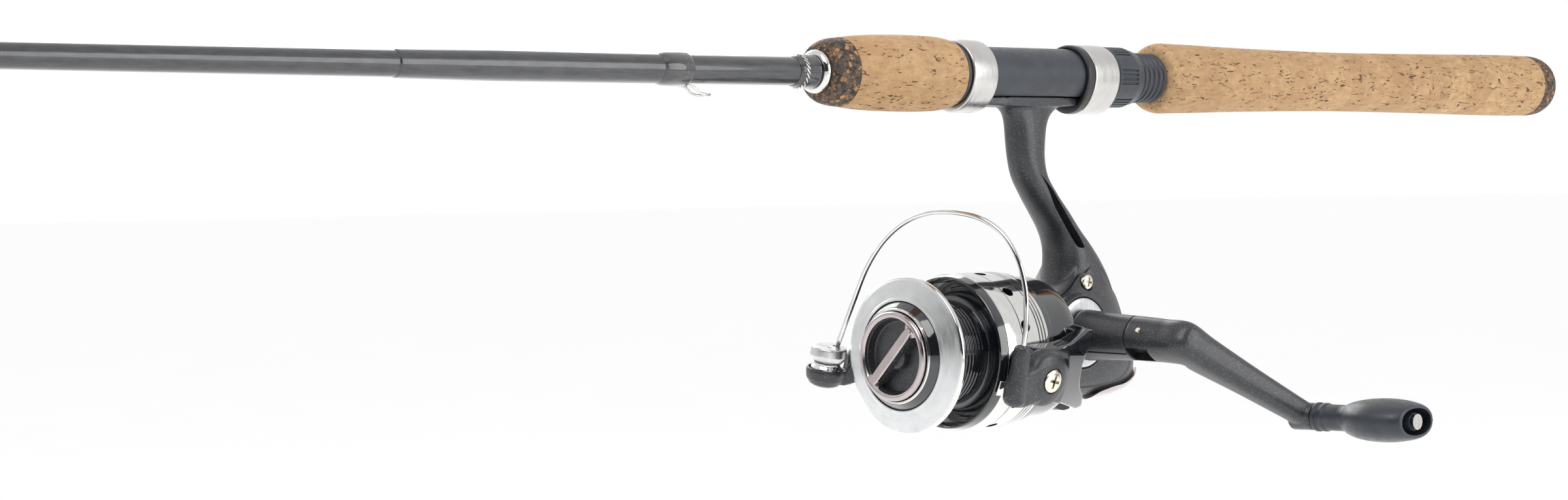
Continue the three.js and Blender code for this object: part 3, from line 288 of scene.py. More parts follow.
# ---------------------------------------------------------------- materials
class Paint:
    """A principled material with small helpers for its procedural parts."""

    def __init__(self, name, colour, roughness, metallic=0.0, coat=0.0):
        self.material = bpy.data.materials.new(name)
        self.material.use_nodes = True
        self.tree = self.material.node_tree
        self.shader = self.tree.nodes["Principled BSDF"]
        self.put("Base Color", (*colour, 1))
        self.put("Roughness", roughness)
        self.put("Metallic", metallic)
        self.put("Coat Weight", coat)
        self.put("Coat Roughness", 0.04)
        place = self.tree.nodes.new("ShaderNodeTexCoord")
        self.millimetres = self.scaled(place.outputs["Object"], (1000, 1000, 1000))

    def put(self, socket, value):
        """Sets an input of the shader."""
        self.fill(self.shader, socket, value)

    def fill(self, node, index, value):
        """Sets a node's input, to a number or from another node."""
        if isinstance(value, bpy.types.NodeSocket):
            self.tree.links.new(value, node.inputs[index])
        else:
            node.inputs[index].default_value = value

    def scaled(self, vector, scale):
        node = self.tree.nodes.new("ShaderNodeMapping")
        node.inputs["Scale"].default_value = scale
        self.tree.links.new(vector, node.inputs["Vector"])
        return node.outputs["Vector"]

    def noise(self, pitch, detail=3.0, stretch=(1, 1, 1), distortion=0.0):
        """Cloudy values whose features are about pitch millimetres wide."""
        node = self.tree.nodes.new("ShaderNodeTexNoise")
        vector = self.scaled(self.millimetres, [s / pitch for s in stretch])
        self.tree.links.new(vector, node.inputs["Vector"])
        node.inputs["Scale"].default_value = 1.0
        node.inputs["Detail"].default_value = detail
        node.inputs["Distortion"].default_value = distortion
        return node.outputs["Fac"]

    def cells(self, pitch, output="Color", feature="F1"):
        """Cells about pitch millimetres wide."""
        node = self.tree.nodes.new("ShaderNodeTexVoronoi")
        node.feature = feature
        vector = self.scaled(self.millimetres, (1 / pitch, 1 / pitch, 1 / pitch))
        self.tree.links.new(vector, node.inputs["Vector"])
        node.inputs["Scale"].default_value = 1.0
        return node.outputs[output]

    def maths(self, operation, a, b=0.0):
        node = self.tree.nodes.new("ShaderNodeMath")
        node.operation = operation
        self.fill(node, 0, a)
        self.fill(node, 1, b)
        return node.outputs[0]

    def axis(self, name):
        node = self.tree.nodes.new("ShaderNodeSeparateXYZ")
        self.tree.links.new(self.millimetres, node.inputs[0])
        return node.outputs[name]

    def ramp(self, value, *stops):
        """Colours by value. A stop is (position, colour or grey level)."""
        node = self.tree.nodes.new("ShaderNodeValToRGB")
        while len(node.color_ramp.elements) < len(stops):
            node.color_ramp.elements.new(0.5)
        for element, (position, colour) in zip(node.color_ramp.elements, stops):
            grey = not isinstance(colour, tuple)
            element.position = position
            element.color = (colour, colour, colour, 1) if grey else (*colour, 1)
        self.tree.links.new(value, node.inputs["Fac"])
        return node.outputs["Color"]

    def blend(self, share, a, b):
        node = self.tree.nodes.new("ShaderNodeMix")
        node.data_type = "RGBA"
        self.fill(node, 0, share)
        self.fill(node, 6, a if isinstance(a, bpy.types.NodeSocket) else (*a, 1))
        self.fill(node, 7, b if isinstance(b, bpy.types.NodeSocket) else (*b, 1))
        return node.outputs[2]

    def relief(self, *layers):
        """Bumps from (height, depth in millimetres) layers."""
        normal = None
        for height, depth in layers:
            node = self.tree.nodes.new("ShaderNodeBump")
            node.inputs["Strength"].default_value = 1.0
            node.inputs["Distance"].default_value = depth * MM
            self.tree.links.new(height, node.inputs["Height"])
            if normal:
                self.tree.links.new(normal, node.inputs["Normal"])
            normal = node.outputs["Normal"]
        self.put("Normal", normal)
        return self.material


def blank_look():
    p = Paint("blank", (0.05, 0.052, 0.056), 0.3, 0.25, 0.6)
    weave = p.maths("SINE", p.maths("MULTIPLY", p.axis("X"), 6.0))
    fibres = p.noise(1.2, 4, (0.2, 1, 1))
    p.put("Base Color", p.ramp(fibres, (0.3, (0.02, 0.021, 0.024)), (0.7, (0.045, 0.046, 0.05))))
    return p.relief((weave, 0.006), (p.noise(0.5), 0.01))


def wrap_look():
    p = Paint("thread_wrap", (0.012, 0.012, 0.014), 0.12, 0, 1.0)
    threads = p.maths("SINE", p.maths("MULTIPLY", p.axis("X"), 2 * math.pi / 0.28))
    p.put("Base Color", p.ramp(p.noise(0.8), (0.3, (0.008, 0.008, 0.01)), (0.8, (0.022, 0.022, 0.026))))
    return p.relief((threads, 0.018), (p.noise(3, 1), 0.05))


def trim_look():
    p = Paint("wrap_trim", (0.7, 0.7, 0.7), 0.3, 0.5, 1.0)
    turn = p.maths("ARCTAN2", p.axis("Y"), p.axis("Z"))
    slant = p.maths("ADD", p.maths("MULTIPLY", turn, 22.0), p.maths("MULTIPLY", p.axis("X"), 5.0))
    p.put("Base Color", p.ramp(p.maths("SINE", slant), (0.0, (0.01, 0.01, 0.012)), (0.2, (0.62, 0.6, 0.56))))
    return p.relief((p.maths("SINE", slant), 0.02))


CORK_RING = 12.7  # length of one cork ring


def cork_look():
    """Rings of natural cork glued end to end, with dark pits."""
    p = Paint("cork", (0.5, 0.28, 0.12), 0.78)
    rings = p.maths("FLOOR", p.maths("DIVIDE", p.axis("X"), CORK_RING))
    shade = p.tree.nodes.new("ShaderNodeTexWhiteNoise")
    shade.noise_dimensions = "1D"
    p.tree.links.new(rings, shade.inputs["W"])
    base = p.ramp(p.noise(2.4, 5, (0.5, 1, 1), 0.6), (0.25, (0.36, 0.21, 0.095)), (0.75, (0.56, 0.37, 0.19)))
    toned = p.blend(p.maths("MULTIPLY", shade.outputs["Value"], 0.45), base, (0.31, 0.17, 0.075))
    growth = p.ramp(p.noise(0.9, 3, (0.35, 2.2, 0.35), 0.8), (0.4, 0.0), (0.75, 0.35))
    grained = p.blend(growth, toned, (0.26, 0.135, 0.055))
    pits = p.ramp(p.noise(2.3, 5, (0.45, 1.5, 1.6), 1.6), (0.62, 0.0), (0.66, 1.0))
    specks = p.ramp(p.cells(1.6, "Distance"), (0.06, 1.0), (0.12, 0.0))
    dark = p.blend(p.noise(0.5), (0.035, 0.017, 0.007), (0.12, 0.055, 0.02))
    pitted = p.blend(p.maths("MULTIPLY", specks, 0.5), grained, (0.17, 0.08, 0.03))
    holes = p.blend(pits, pitted, dark)
    seam = p.maths("PINGPONG", p.axis("X"), CORK_RING / 2)
    joint = p.ramp(p.maths("DIVIDE", seam, CORK_RING / 2), (0.0, 1.0), (0.022, 0.0))
    p.put("Base Color", p.blend(p.maths("MULTIPLY", joint, 0.35), holes, (0.16, 0.08, 0.035)))
    depth = p.maths("SUBTRACT", 1.0, pits)
    return p.relief((depth, 0.28), (p.noise(0.45, 4), 0.07), (p.maths("SUBTRACT", 1.0, specks), 0.08))


def composite_look():
    p = Paint("composite_cork", (0.1, 0.07, 0.05), 0.7)
    kinds = p.cells(1.25)
    value = p.tree.nodes.new("ShaderNodeSeparateColor")
    p.tree.links.new(kinds, value.inputs[0])
    grains = p.ramp(
        value.outputs[0],
        (0.0, (0.012, 0.011, 0.01)),
        (0.3, (0.06, 0.045, 0.035)),
        (0.52, (0.16, 0.09, 0.045)),
        (0.72, (0.05, 0.04, 0.032)),
        (0.88, (0.42, 0.2, 0.07)),
        (1.0, (0.03, 0.026, 0.024)),
    )
    edge = p.ramp(p.cells(1.25, "Distance", "DISTANCE_TO_EDGE"), (0.0, 0.85), (0.12, 0.0))
    p.put("Base Color", p.blend(edge, grains, (0.01, 0.009, 0.008)))
    return p.relief((p.cells(1.25, "Distance", "DISTANCE_TO_EDGE"), 0.12), (p.noise(0.4), 0.05))


def metal_look(name, colour, roughness, brushed=(1, 1, 1), pitch=0.3, depth=0.004):
    """Bare metal, brushed along the axis that has the smallest number in brushed."""
    p = Paint(name, colour, roughness, 1.0)
    dull = tuple(c * 0.86 for c in colour)
    p.put("Base Color", p.ramp(p.noise(6, 3), (0.3, colour), (0.75, dull)))
    streaks = p.noise(1.8, 5, brushed)
    p.put("Roughness", p.ramp(streaks, (0.3, roughness * 0.7), (0.75, min(1, roughness * 1.5))))
    return p.relief((p.noise(pitch, 3, brushed), depth))


def seat_look():
    p = Paint("seat_plastic", (0.025, 0.03, 0.038), 0.42, 0, 0.0)
    p.put("Base Color", p.ramp(p.noise(5, 4), (0.3, (0.018, 0.022, 0.029)), (0.75, (0.029, 0.035, 0.046))))
    p.put("Roughness", p.ramp(p.noise(2, 4), (0.3, 0.34), (0.75, 0.5)))
    return p.relief((p.noise(0.25, 3), 0.012), (p.noise(4, 2), 0.03))


def charcoal_look():
    """Dark satin paint with fine silver flecks."""
    base = (0.017, 0.018, 0.021)
    p = Paint("charcoal_paint", base, 0.42, 0.0, 0.12)
    flecks = p.tree.nodes.new("ShaderNodeSeparateColor")
    p.tree.links.new(p.cells(0.34), flecks.inputs[0])
    near = p.ramp(p.cells(0.34, "Distance"), (0.2, 1.0), (0.42, 0.0))
    shiny = p.maths("MULTIPLY", p.ramp(flecks.outputs[0], (0.7, 0.0), (1.0, 0.8)), near)
    soft = p.ramp(p.noise(3, 3), (0.3, base), (0.75, tuple(c * 1.4 for c in base)))
    p.put("Base Color", p.blend(shiny, soft, (0.3, 0.31, 0.33)))
    p.put("Metallic", p.maths("MULTIPLY", shiny, 0.8))
    return p.relief((p.noise(0.35, 3), 0.018))


def gloss_look():
    p = Paint("gloss_black", (0.006, 0.007, 0.009), 0.09, 0, 1.0)
    p.put("Roughness", p.ramp(p.noise(3, 5), (0.35, 0.05), (0.8, 0.16)))
    p.put("Base Color", p.ramp(p.noise(8, 2), (0.3, (0.005, 0.006, 0.008)), (0.8, (0.012, 0.014, 0.018))))
    return p.relief((p.noise(2.5, 2), 0.01))


def rubber_look():
    p = Paint("black_rubber", (0.01, 0.01, 0.011), 0.38)
    p.put("Base Color", p.ramp(p.noise(2, 4), (0.3, (0.006, 0.006, 0.007)), (0.8, (0.018, 0.018, 0.02))))
    return p.relief((p.noise(0.4, 3), 0.015))


def felt_look():
    p = Paint("felt", (0.16, 0.15, 0.13), 0.95)
    p.put("Base Color", p.ramp(p.noise(0.4, 5), (0.3, (0.1, 0.095, 0.08)), (0.7, (0.22, 0.2, 0.17))))
    return p.relief((p.noise(0.2, 4), 0.1))


def ceramic_look():
    p = Paint("ceramic", (0.03, 0.032, 0.038), 0.12, 0, 0.6)
    p.put("Base Color", p.ramp(p.noise(1, 3), (0.3, (0.02, 0.021, 0.026)), (0.8, (0.05, 0.052, 0.06))))
    return p.relief((p.noise(0.6, 2), 0.004))


def floor_look():
    p = Paint("studio_floor", (0.86, 0.86, 0.86), 0.7)
    p.put("Base Color", p.ramp(p.noise(90, 2), (0.3, (0.85, 0.85, 0.85)), (0.8, (0.87, 0.87, 0.87))))
    p.put("Emission Color", (1, 1, 1, 1))
    p.put("Emission Strength", 0.24)
    return p.relief((p.noise(3, 2), 0.01))


LOOKS = {
    "blank": blank_look(),
    "thread_wrap": wrap_look(),
    "wrap_trim": trim_look(),
    "cork": cork_look(),
    "composite_cork": composite_look(),
    "stainless": metal_look("stainless", (0.56, 0.55, 0.535), 0.27, (3, 0.25, 0.25), 0.35, 0.006),
    "polished_metal": metal_look("polished_metal", (0.7, 0.695, 0.68), 0.08, pitch=3),
    "seat_plastic": seat_look(),
    "charcoal_paint": charcoal_look(),
    "gloss_black": gloss_look(),
    "silver_metal": metal_look("silver_metal", (0.6, 0.605, 0.61), 0.3, (4, 0.2, 0.2), 0.3, 0.003),
    "rose_metal": metal_look("rose_metal", (0.46, 0.41, 0.41), 0.2, pitch=2),
    "black_rubber": rubber_look(),
    "brass": metal_look("brass", (0.76, 0.71, 0.6), 0.22, pitch=0.8, depth=0.01),
    "zinc": metal_look("zinc", (0.5, 0.5, 0.5), 0.45, pitch=0.5, depth=0.02),
    "felt": felt_look(),
    "ceramic": ceramic_look(),
    "floor": floor_look(),
}


# ---------------------------------------------------------------- blank, wraps and grips
def rod_blanks():
    butt = [(-584, 2.7), (-534.5, 2.9), (-533, 3.1), (-381, 3.52), (-263, 3.85), (-262.4, 4.12)]
    butt += [(-258, 4.2), (-227, 4.55), (-167, 4.5), (-155.7, 4.45), (-112, 4.45), (299, 4.2)]
    piece("blank_butt", "rod", "blank", spun(butt, 72, 0.3), stands_for=["rod_blank_butt"])
    tip = [(-1362, 1.0), (-600, 2.9), (-590, 3.9), (-534.3, 4.1), (-534.3, 3.2), (-585, 3.05)]
    piece("blank_tip", "tip_section", "blank", spun(tip, 72, 0.3), stands_for=["rod_blank_tip"])


def wrapping(name, body, start, end, low, high, stands_for=()):
    """A band of varnished thread that swells from its ends."""
    profile = [(start, low), (start + 1.2, low + (high - low) * 0.6), (start + 3, high)]
    profile += [(end - 2.2, high), (end - 0.7, low + (high - low) * 0.7), (end, low)]
    inner = [(end, low - 0.35), (start, low - 0.35)]
    form = turned(through(profile, 5) + inner, 80, closed=True)
    piece(name, body, "thread_wrap", form, stands_for=stands_for)


def thread_wraps():
    wrapping("keeper_binding", "rod", -167.3, -155.7, 4.55, 5.2, ["keeper_wrap"])
    wrapping("ferrule_binding", "tip_section", -560, -534.6, 4.15, 4.5)
    profile = [(-112, 4.6), (-111, 5.0), (-109.6, 5.36), (-103.4, 5.38), (-103.4, 4.4), (-112, 4.4)]
    form = lathed(profile, 0.4, 80)
    piece("grip_binding", "rod", "thread_wrap", form, stands_for=["foregrip_wrap"])
    for name, x, r in (("keeper_trim", -159.4, 5.24), ("grip_trim", -109.4, 5.4)):
        band = [(x - 0.7, r - 0.5), (x - 0.7, r), (x + 0.7, r), (x + 0.7, r - 0.5)]
        piece(name, "rod", "wrap_trim", lathed(band, 0.15, 96))


def hook_keeper():
    loop = [(-157, -1.8, -4.9), (-155, -1.8, -5.3), (-153.6, -1.9, -5.9), (-152, -2.1, -7.2)]
    loop += [(-149, -2.1, -7.8), (-147.2, -1.2, -7.7), (-146.7, 0, -7.6), (-147.2, 1.2, -7.7)]
    loop += [(-149, 2.1, -7.8), (-152, 2.1, -7.2), (-153.6, 1.9, -5.9), (-155, 1.8, -5.3), (-157, 1.8, -4.9)]
    piece("hook_keeper_loop", "rod", "stainless", wire(loop, 0.42, 6), stands_for=["hook_keeper"])


def winding_check():
    profile = [(-103.3, 4.6), (-103.3, 5.9), (-102.7, 6.7), (-102, 6.92), (-101.2, 6.92), (-101.2, 4.6)]
    form = lathed(profile, 0.3, 96)
    piece("check_ring", "rod", "polished_metal", form, stands_for=["winding_check"])


def grip(name, look, profile, node):
    """A turned grip with a bore for the blank."""
    outer = through(profile, 6)
    ends = [(outer[-1][0], 4.5), (outer[0][0], 4.5)]
    piece(name, "rod", look, turned(outer + ends, 112, closed=True), stands_for=[node])


def grips():
    ring = [(-100.8, 7.2), (-100.2, 8.7), (-98.4, 9.9), (-95.6, 10.6), (-91.9, 10.95)]
    grip("foregrip_ring", "composite_cork", ring, "foregrip_front_ring")
    fore = [(-91.8, 10.98), (-85, 11.7), (-74, 12.2), (-60, 12.35), (-50, 12.1), (-45.4, 11.6), (-43.2, 11)]
    grip("foregrip_body", "cork", fore + [(-42.8, 10.4)], "foregrip_cork")
    rear = [(60.5, 9.2), (61.4, 10.9), (63.7, 12.1), (72, 12.2), (110, 11.5), (168, 11.0)]
    rear += [(225, 11.5), (272, 12.1), (292.9, 12.05)]
    grip("rear_grip_body", "cork", rear, "rear_grip_cork")
    cap = [(293.1, 4.5), (293.1, 12.05), (297, 12), (300, 11.7), (302.4, 10.9), (303.7, 9.4), (304, 7.6)]
    cap += [(304, AXIS), (299.3, AXIS), (299.3, 4.5)]
    form = turned(eased(cap, 0.5), 112)
    piece("butt_cap_body", "rod", "composite_cork", form, stands_for=["butt_cap"])


# ---------------------------------------------------------------- reel seat
def seat_tube():
    profile = [(-42.5, 4.6), (-42.5, 10.4), (-40.9, 10.4), (-40.9, 9.36)]
    profile += [(x, 9.36) for x in range(-40, 22, 2)] + [(21.6, 9.36), (22.6, 8)]
    for k in range(6):
        x = 46.6 + 2.5 * k
        profile += [(x - 0.95, 8), (x - 0.5, 8.65), (x, 8.75), (x + 0.5, 8.65), (x + 0.95, 8)]
    profile += [(60, 8), (60.2, 4.6)]

    def moulding(x, r, angle):
        """A faint line along the near side."""
        on_side = abs(math.degrees(angle) - 178) < 1.2
        return r + 0.07 if on_side and r > 9.3 and x > -40 else r

    points, faces = turned(eased(profile, 0.25, True), 192, closed=True, swell=moulding)
    flat = [(x, y, max(z, -7.1)) if -39 < x < 27.7 else (x, y, z) for x, y, z in points]
    piece("seat_barrel", "rod", "seat_plastic", (flat, faces), stands_for=["reel_seat_tube"])


def hood(stations, outer_r, inner_r, drop, count=128):
    """A hood round the seat, dropped below into a pocket. Stations are (x, share from the inside out)."""
    rings = []
    for x, share in stations:
        ring = []
        for i in range(count):
            angle = 2 * math.pi * i / count
            sunk = drop * max(0, -math.sin(angle)) ** 2 * min(1, 0.2 + share)
            radius = inner_r + (outer_r - inner_r) * share
            ring.append((x, radius * math.cos(angle), radius * math.sin(angle) - sunk))
        rings.append(ring)
    return bridged(rings, wrap=True)


def hoods():
    fixed = [(-40.6, 0), (-40.6, 0.9), (-39.9, 1.02), (-36, 1.08), (-33, 1.05)]
    fixed += [(-29.9, 1.0), (-29.2, 0.86), (-29.2, 0)]
    form = hood(eased(fixed, 0.5, True), 11.3, 9.5, 1.2)
    front = raw("fixed_hood_shell", form)
    slit = wire([(-39, 1.5, -12.8), (-35, 0, -12.8), (-32.5, -1.5, -12.8)], 0.45, 4)
    finished(carved(front, slit), "rod", "stainless", ["fixed_hood"], 28)
    lip = [(16.2, 0), (16.2, 0.75), (16.9, 1.0), (19.2, 1.0), (19.5, 0.8), (19.5, 0.4)]
    lip += [(32.4, 0.4), (32.4, 0)]
    form = hood(eased(lip, 0.35, True), 10.75, 9.5, 2)
    piece("hood_liner", "sliding_hood", "black_rubber", form, stands_for=["sliding_hood_liner"])
    shell = [(19.9, 0), (19.8, 0.8), (20.3, 1.05), (26, 1.1), (31.8, 1.0), (32.4, 0.7), (32.4, 0)]
    form = hood(eased(shell, 0.4, True), 10.75, 10.05, 2)
    piece("hood_shell", "sliding_hood", "stainless", form, stands_for=["sliding_hood_shell"], sharp=28)


def lock_nut():
    """The nut's rim has six sunk bands, with raised ribs in each."""
    rim, sunk, flat = 10.45, 0.5, 0.04
    band_half, rib_pitch, rib_width = 16, 8, 3.4  # in degrees
    profile = [(32.9, 9.1), (32.9, 10.2), (33.3, rim)]
    profile += [(33.6 + 0.35 * k, rim) for k in range(28)]
    profile += [(43.4, 10.35), (44.6, 10.05), (45.8, 9.8), (46.8, 9.55), (47.2, 9.3), (47.2, 9.1)]

    def knurl(x, r, angle):
        local = (math.degrees(angle) + 30) % 60 - 30
        if r < 10.4 or not 34.2 <= x <= 42.6 or abs(local) > band_half:
            return r
        return r - (sunk if (local + band_half) % rib_pitch > rib_width else flat)

    form = turned(profile, 360, closed=True, swell=knurl)
    piece("nut_body", "lock_nut", "seat_plastic", form, stands_for=["lock_nut"], sharp=25)


# ---------------------------------------------------------------- line guides
GUIDES = {
    "stripper_guide": (-500, 11, 25, 3.35, "rod"),
    "second_guide": (-790, 8, 18, 2.16, "tip_section"),
    "third_guide": (-1080, 6, 14, 1.46, "tip_section"),
}


def line_guide(name, x, ring, drop, blank, body):
    """A ring on two legs, with its foot bound to the blank under thread."""
    place = Matrix.Translation((x, 0, -drop))
    hoop = [(-1.3, ring + 0.35), (-1.3, ring + 1.4), (-0.6, ring + 1.6), (0.6, ring + 1.6)]
    hoop += [(1.3, ring + 1.4), (1.3, ring + 0.35)]
    parts = [moved(lathed(hoop, 0.4, 96), place)]
    heel = x + drop * 0.75
    for side in (-1, 1):
        leg = [(x, side * (ring + 1) * 0.68, -drop + (ring + 1) * 0.733)]
        leg += [(x + drop * 0.35, side * ring * 0.42, -drop * 0.42 - ring * 0.1)]
        leg += [(heel, side * 0.9, -blank - 1.2), (heel + 4, side * 0.4, -blank - 0.9)]
        parts.append(wire(leg, 0.75, 10, 16))
    blade = [(heel - 0.5, 1.1, 0.7), (heel + 6, 1.1, 0.6), (heel + 14, 0.8, 0.2)]
    parts.append(bridged([level(a, -blank - 0.7, b, c, 3, 20) for a, b, c in blade]))
    finished(raw(name + "_hoop", joined(*parts)), body, "stainless", [name + "_frame"])
    eye = [(-1.5, ring + 0.3), (-1.2, ring - 0.4), (0, ring - 0.8), (1.2, ring - 0.4), (1.5, ring + 0.3)]
    form = moved(turned(through(eye, 5), 96, closed=True), place)
    piece(name + "_eye", body, "ceramic", form, stands_for=[name + "_ring"])
    binding = [(heel - 3, 0), (heel + 1, 0.75), (heel + 8, 0.9), (heel + 14, 0.6), (heel + 16.5, 0)]
    reach = blank + 0.35
    rows = [level(a, -lump * 0.7, reach, reach + lump * 0.8, 2, 40) for a, lump in through(binding, 6)]
    piece(name + "_binding", body, "thread_wrap", bridged(rows))


def tip_top():
    eye = [(-1.2, 3.3), (-1.2, 4.3), (-0.5, 4.6), (0.5, 4.6), (1.2, 4.3), (1.2, 3.3)]
    parts = [moved(lathed(eye, 0.4, 64), Matrix.Translation((-1366, 0, -6.4)))]
    parts.append(spun([(-1372, 1.4), (-1370, 1.9), (-1350.4, 1.9), (-1350, 1.3)], 40, 0.4))
    for s in (-1, 1):
        strut = [(-1366, s * 2.4, -3.2), (-1362, s * 1.5, -1.9), (-1356, s * 0.5, -1.7)]
        parts.append(wire(strut, 0.55, 6, 12))
    piece("tip_top_eye", "tip_section", "stainless", joined(*parts), stands_for=["tip_top_frame"])


# ---------------------------------------------------------------- reel body
STEM = [
    (-9.6, -19.5, 13, 5.6), (-11.2, -16.1, 9.1, 5.2), (-13.5, -14, 5.8, 5.3), (-16.5, -12.9, 3.8, 5.5),
    (-21, -12.3, 2.7, 5.6), (-27.5, -11.3, 2.1, 5.6), (-33.5, -9.4, 3.1, 5.8), (-40, -5, 7.6, 6.2),
    (-46.5, 0.4, 13.2, 6.8), (-52, 4.8, 17.5, 7.4), (-57.5, 7.2, 22.8, 8.2), (-63.5, 7.4, 27.8, 9.2),
    (-69, 6.3, 31, 10.4), (-74, 4.4, 33.2, 11.2),
]  # height, front edge, rear edge, half width
BODY = [
    (-64, 10.5, 28, 8.4), (-68, 8.5, 30.4, 10), (-72, 4.6, 32.8, 11.6), (-76, -2, 35.2, 13),
    (-82, -4.2, 38.4, 13), (-91, -4.2, 42.3, 13), (-98.6, -4.2, 45.2, 12.3), (-103, -3.8, 44.8, 10.8),
    (-105.8, -1, 41.6, 8.8), (-107.9, 4, 34.5, 6.2), (-109, 11, 25, 3.4),
]
BODY_MID = 14  # the body is square in front of this station and rounded behind it


def stem_form():
    rings = []
    for z, front, rear, half in through(STEM, 5):
        centre = ((front + rear) / 2, 0, z)
        rings.append(section(centre, (1, 0, 0), (0, 1, 0), (rear - front) / 2, half, 2.3, 72))
    return bridged(rings)


def body_form(offset=0.0, count=96):
    """The body's skin, moved in or out."""
    rings = []
    for z, front, rear, half in through(BODY, 5):
        ring = []
        for i in range(count):
            angle = 2 * math.pi * i / count
            c, s = math.cos(angle), math.sin(angle)
            reach, power = (rear - BODY_MID, 2.2) if c > 0 else (BODY_MID - front, 5)
            x = BODY_MID + math.copysign((reach + offset) * abs(c) ** (2 / power), c)
            y = math.copysign((half + offset) * abs(s) ** (2 / power), s)
            ring.append((x, y, z + offset * (z + 90) / 20))
        rings.append(ring)
    return bridged(rings)


def foot_form():
    """The flat foot that the hoods hold."""
    rows = [(-38, 3.6, -9.4), (-37.4, 4, -9.8), (-27, 4.3, -10.1), (-20, 5.8, -10.4), (-5, 6, -10.5)]
    rows += [(10, 5.8, -10.4), (17, 4.4, -10), (26.5, 4, -9.8), (27, 3.6, -9.5)]
    rings = [[(x, -h, -7.4), (x, -h, low), (x, h, low), (x, h, -7.4)] for x, h, low in through(rows, 4)]
    return bridged(rings)


def nose_form():
    """The round flat-sided hump that enters the back of the rotor."""
    points, faces = moved(spun([(-12.2, 16.2), (-11.2, 17), (2, 17)], 96), SPIN)
    return [(x, max(-13.4, min(13.4, y)), z) for x, y, z in points], faces


def groove_form():
    """The dark scoop down the side of the stem."""
    outline = [(-3.8, -32.8), (-0.6, -37.4), (2.2, -43.8), (7.3, -50.8), (12.1, -58.2), (15.4, -58.5)]
    outline += [(13.8, -55.3), (10.6, -50.8), (6.8, -45.2), (2.3, -38.6)]
    return slab(eased(outline, 1.2, True), -12, -3.6)


BOSS = along_y(5.5, -86.5)
COVER = ((-4.5, -30, -125), (70, -9.5, -62.3))


def reel_body():
    whole = fused(raw("casing", joined(stem_form(), body_form(), foot_form(), nose_form())), 0.42, 5)
    cover = whole.copy()
    cover.data = whole.data.copy()
    cover.name = "cover"
    bpy.context.scene.collection.objects.link(cover)
    gap = 0.7
    (a, b, c), (d, e, f) = COVER
    carved(whole, block((a - gap, b, c), (d, e + gap, f + gap)))
    carved(whole, groove_form())
    carved(whole, moved(drum(-12.6, -8, 8.3, 64), SPIN))
    finished(whole, "rod", "charcoal_paint", ["reel_body"], 40)
    carved(cover, block(*COVER), operation="INTERSECT")
    carved(cover, drum(-20, -10.7, 3.1, 48), along_y(12.5, -69.8))
    carved(cover, drum(-20, -12, 12.6, 96), BOSS)
    boss = [(-9.6, 12.2), (-13, 13.4), (-13.9, 13), (-15.3, 12.7), (-15.6, 12.3)]
    boss += [(-15.2, 12), (-14.6, 11.9), (-14.4, 5.2), (-9.6, 5.2)]
    merged(cover, raw("rim", moved(lathed(boss, 0.3, 96), BOSS)))
    finished(cover, "rod", "charcoal_paint", ["side_cover"], 40)


def merged(obj, *others):
    """Adds the meshes of other objects to a piece."""
    work = bmesh.new()
    work.from_mesh(obj.data)
    for other in others:
        work.from_mesh(other.data)
        bpy.data.objects.remove(other)
    work.to_mesh(obj.data)
    work.free()
    return obj


def cross_screw(name, body, node, place, head, r, depth):
    """A domed screw head with a cross recess. head is the station of its face, along -X of its axis."""
    dome = [(head, AXIS), (head + 0.05, r * 0.5), (head + 0.28, r * 0.85), (head + 0.6, r)]
    dome = through(dome + [(head + depth, r)], 4) + [(head + depth, AXIS)]
    obj = raw(name, turned(dome, 64), place)
    for turn in (0, 90):
        bar = block((head - 0.4, -r * 0.62, -r * 0.13), (head + depth * 0.65, r * 0.62, r * 0.13))
        carved(obj, moved(bar, Matrix.Rotation(math.radians(turn + 12), 4, "X")), place)
    finished(obj, body, "brass", [node], 28)


def body_fittings():
    cross_screw("cover_screw_head", "rod", "cover_screw", along_y(12.5, -69.8), -12.2, 2.5, 1.4)
    disc = [(-15.75, 5.6), (-15.75, 10.6), (-15.5, 11.6), (-14.9, 11.8), (-14.4, 11.8), (-14.4, 5.6)]
    piece("boss_disc", "rod", "silver_metal", lathed(disc, 0.3, 112), BOSS, ["crank_boss_ring"])
    cap = [(13, 9.2), (15.6, 8.8), (16.8, 8.2), (17.6, 7.8), (18.4, 6.6), (18.6, 4.6), (18.2, 4.2)]

    def ribs(x, r, angle):
        """Fine ribs round the cap's edge."""
        return r + (0.22 if math.sin(angle * 20) > 0 and 16.9 < x < 18.2 and r > 6 else 0)

    piece("far_cap_body", "rod", "charcoal_paint", spun(cap, 160, 0.4, ribs), BOSS, ["far_side_cap"])
    trim = raw("tail_plate", body_form(1.1))
    side = [(56, -99), (56, -118), (19, -118), (19, -108), (27, -106), (35, -105.4), (42, -102.4), (47, -99)]
    carved(trim, slab(eased(side, 3, True), -10.5, 10.5), operation="INTERSECT")
    bevel = trim.modifiers.new("edge", "BEVEL")
    bevel.width = 0.3 * MM
    bevel.segments = 2
    settled(trim)
    finished(trim, "rod", "rose_metal", ["tail_trim"], 35)
    lever = [(4.6, -112.4), (8, -113.2), (11, -112.8), (11.6, -111.7), (8, -110.6), (5, -109.6)]
    pivot = moved(drum(-4, 4, 1.7, 40), along_y(5, -110.8))
    form = joined(slab(eased(lever, 0.8, True), -3.6, 3.6), pivot)
    piece("lever_body", "anti_reverse", "black_rubber", form, stands_for=["anti_reverse_lever"])


# ---------------------------------------------------------------- rotor and bail
PIVOT = along_y(-34, 0)


def arm_outline():
    """Side view of a rotor arm: an ear, and two horns with a notch between them."""
    points = arc(-34, 0, 9.2, 90, 270, 24) + [(-27, -9.3), (-20, -10.2), (-9, -13.6), (-5.6, -13)]
    points += arc(-4.4, 0, 9.2, -118, -242, 20) + [(-5.6, 13), (-9, 13.6), (-20, 10.2), (-27, 9.3)]
    return points


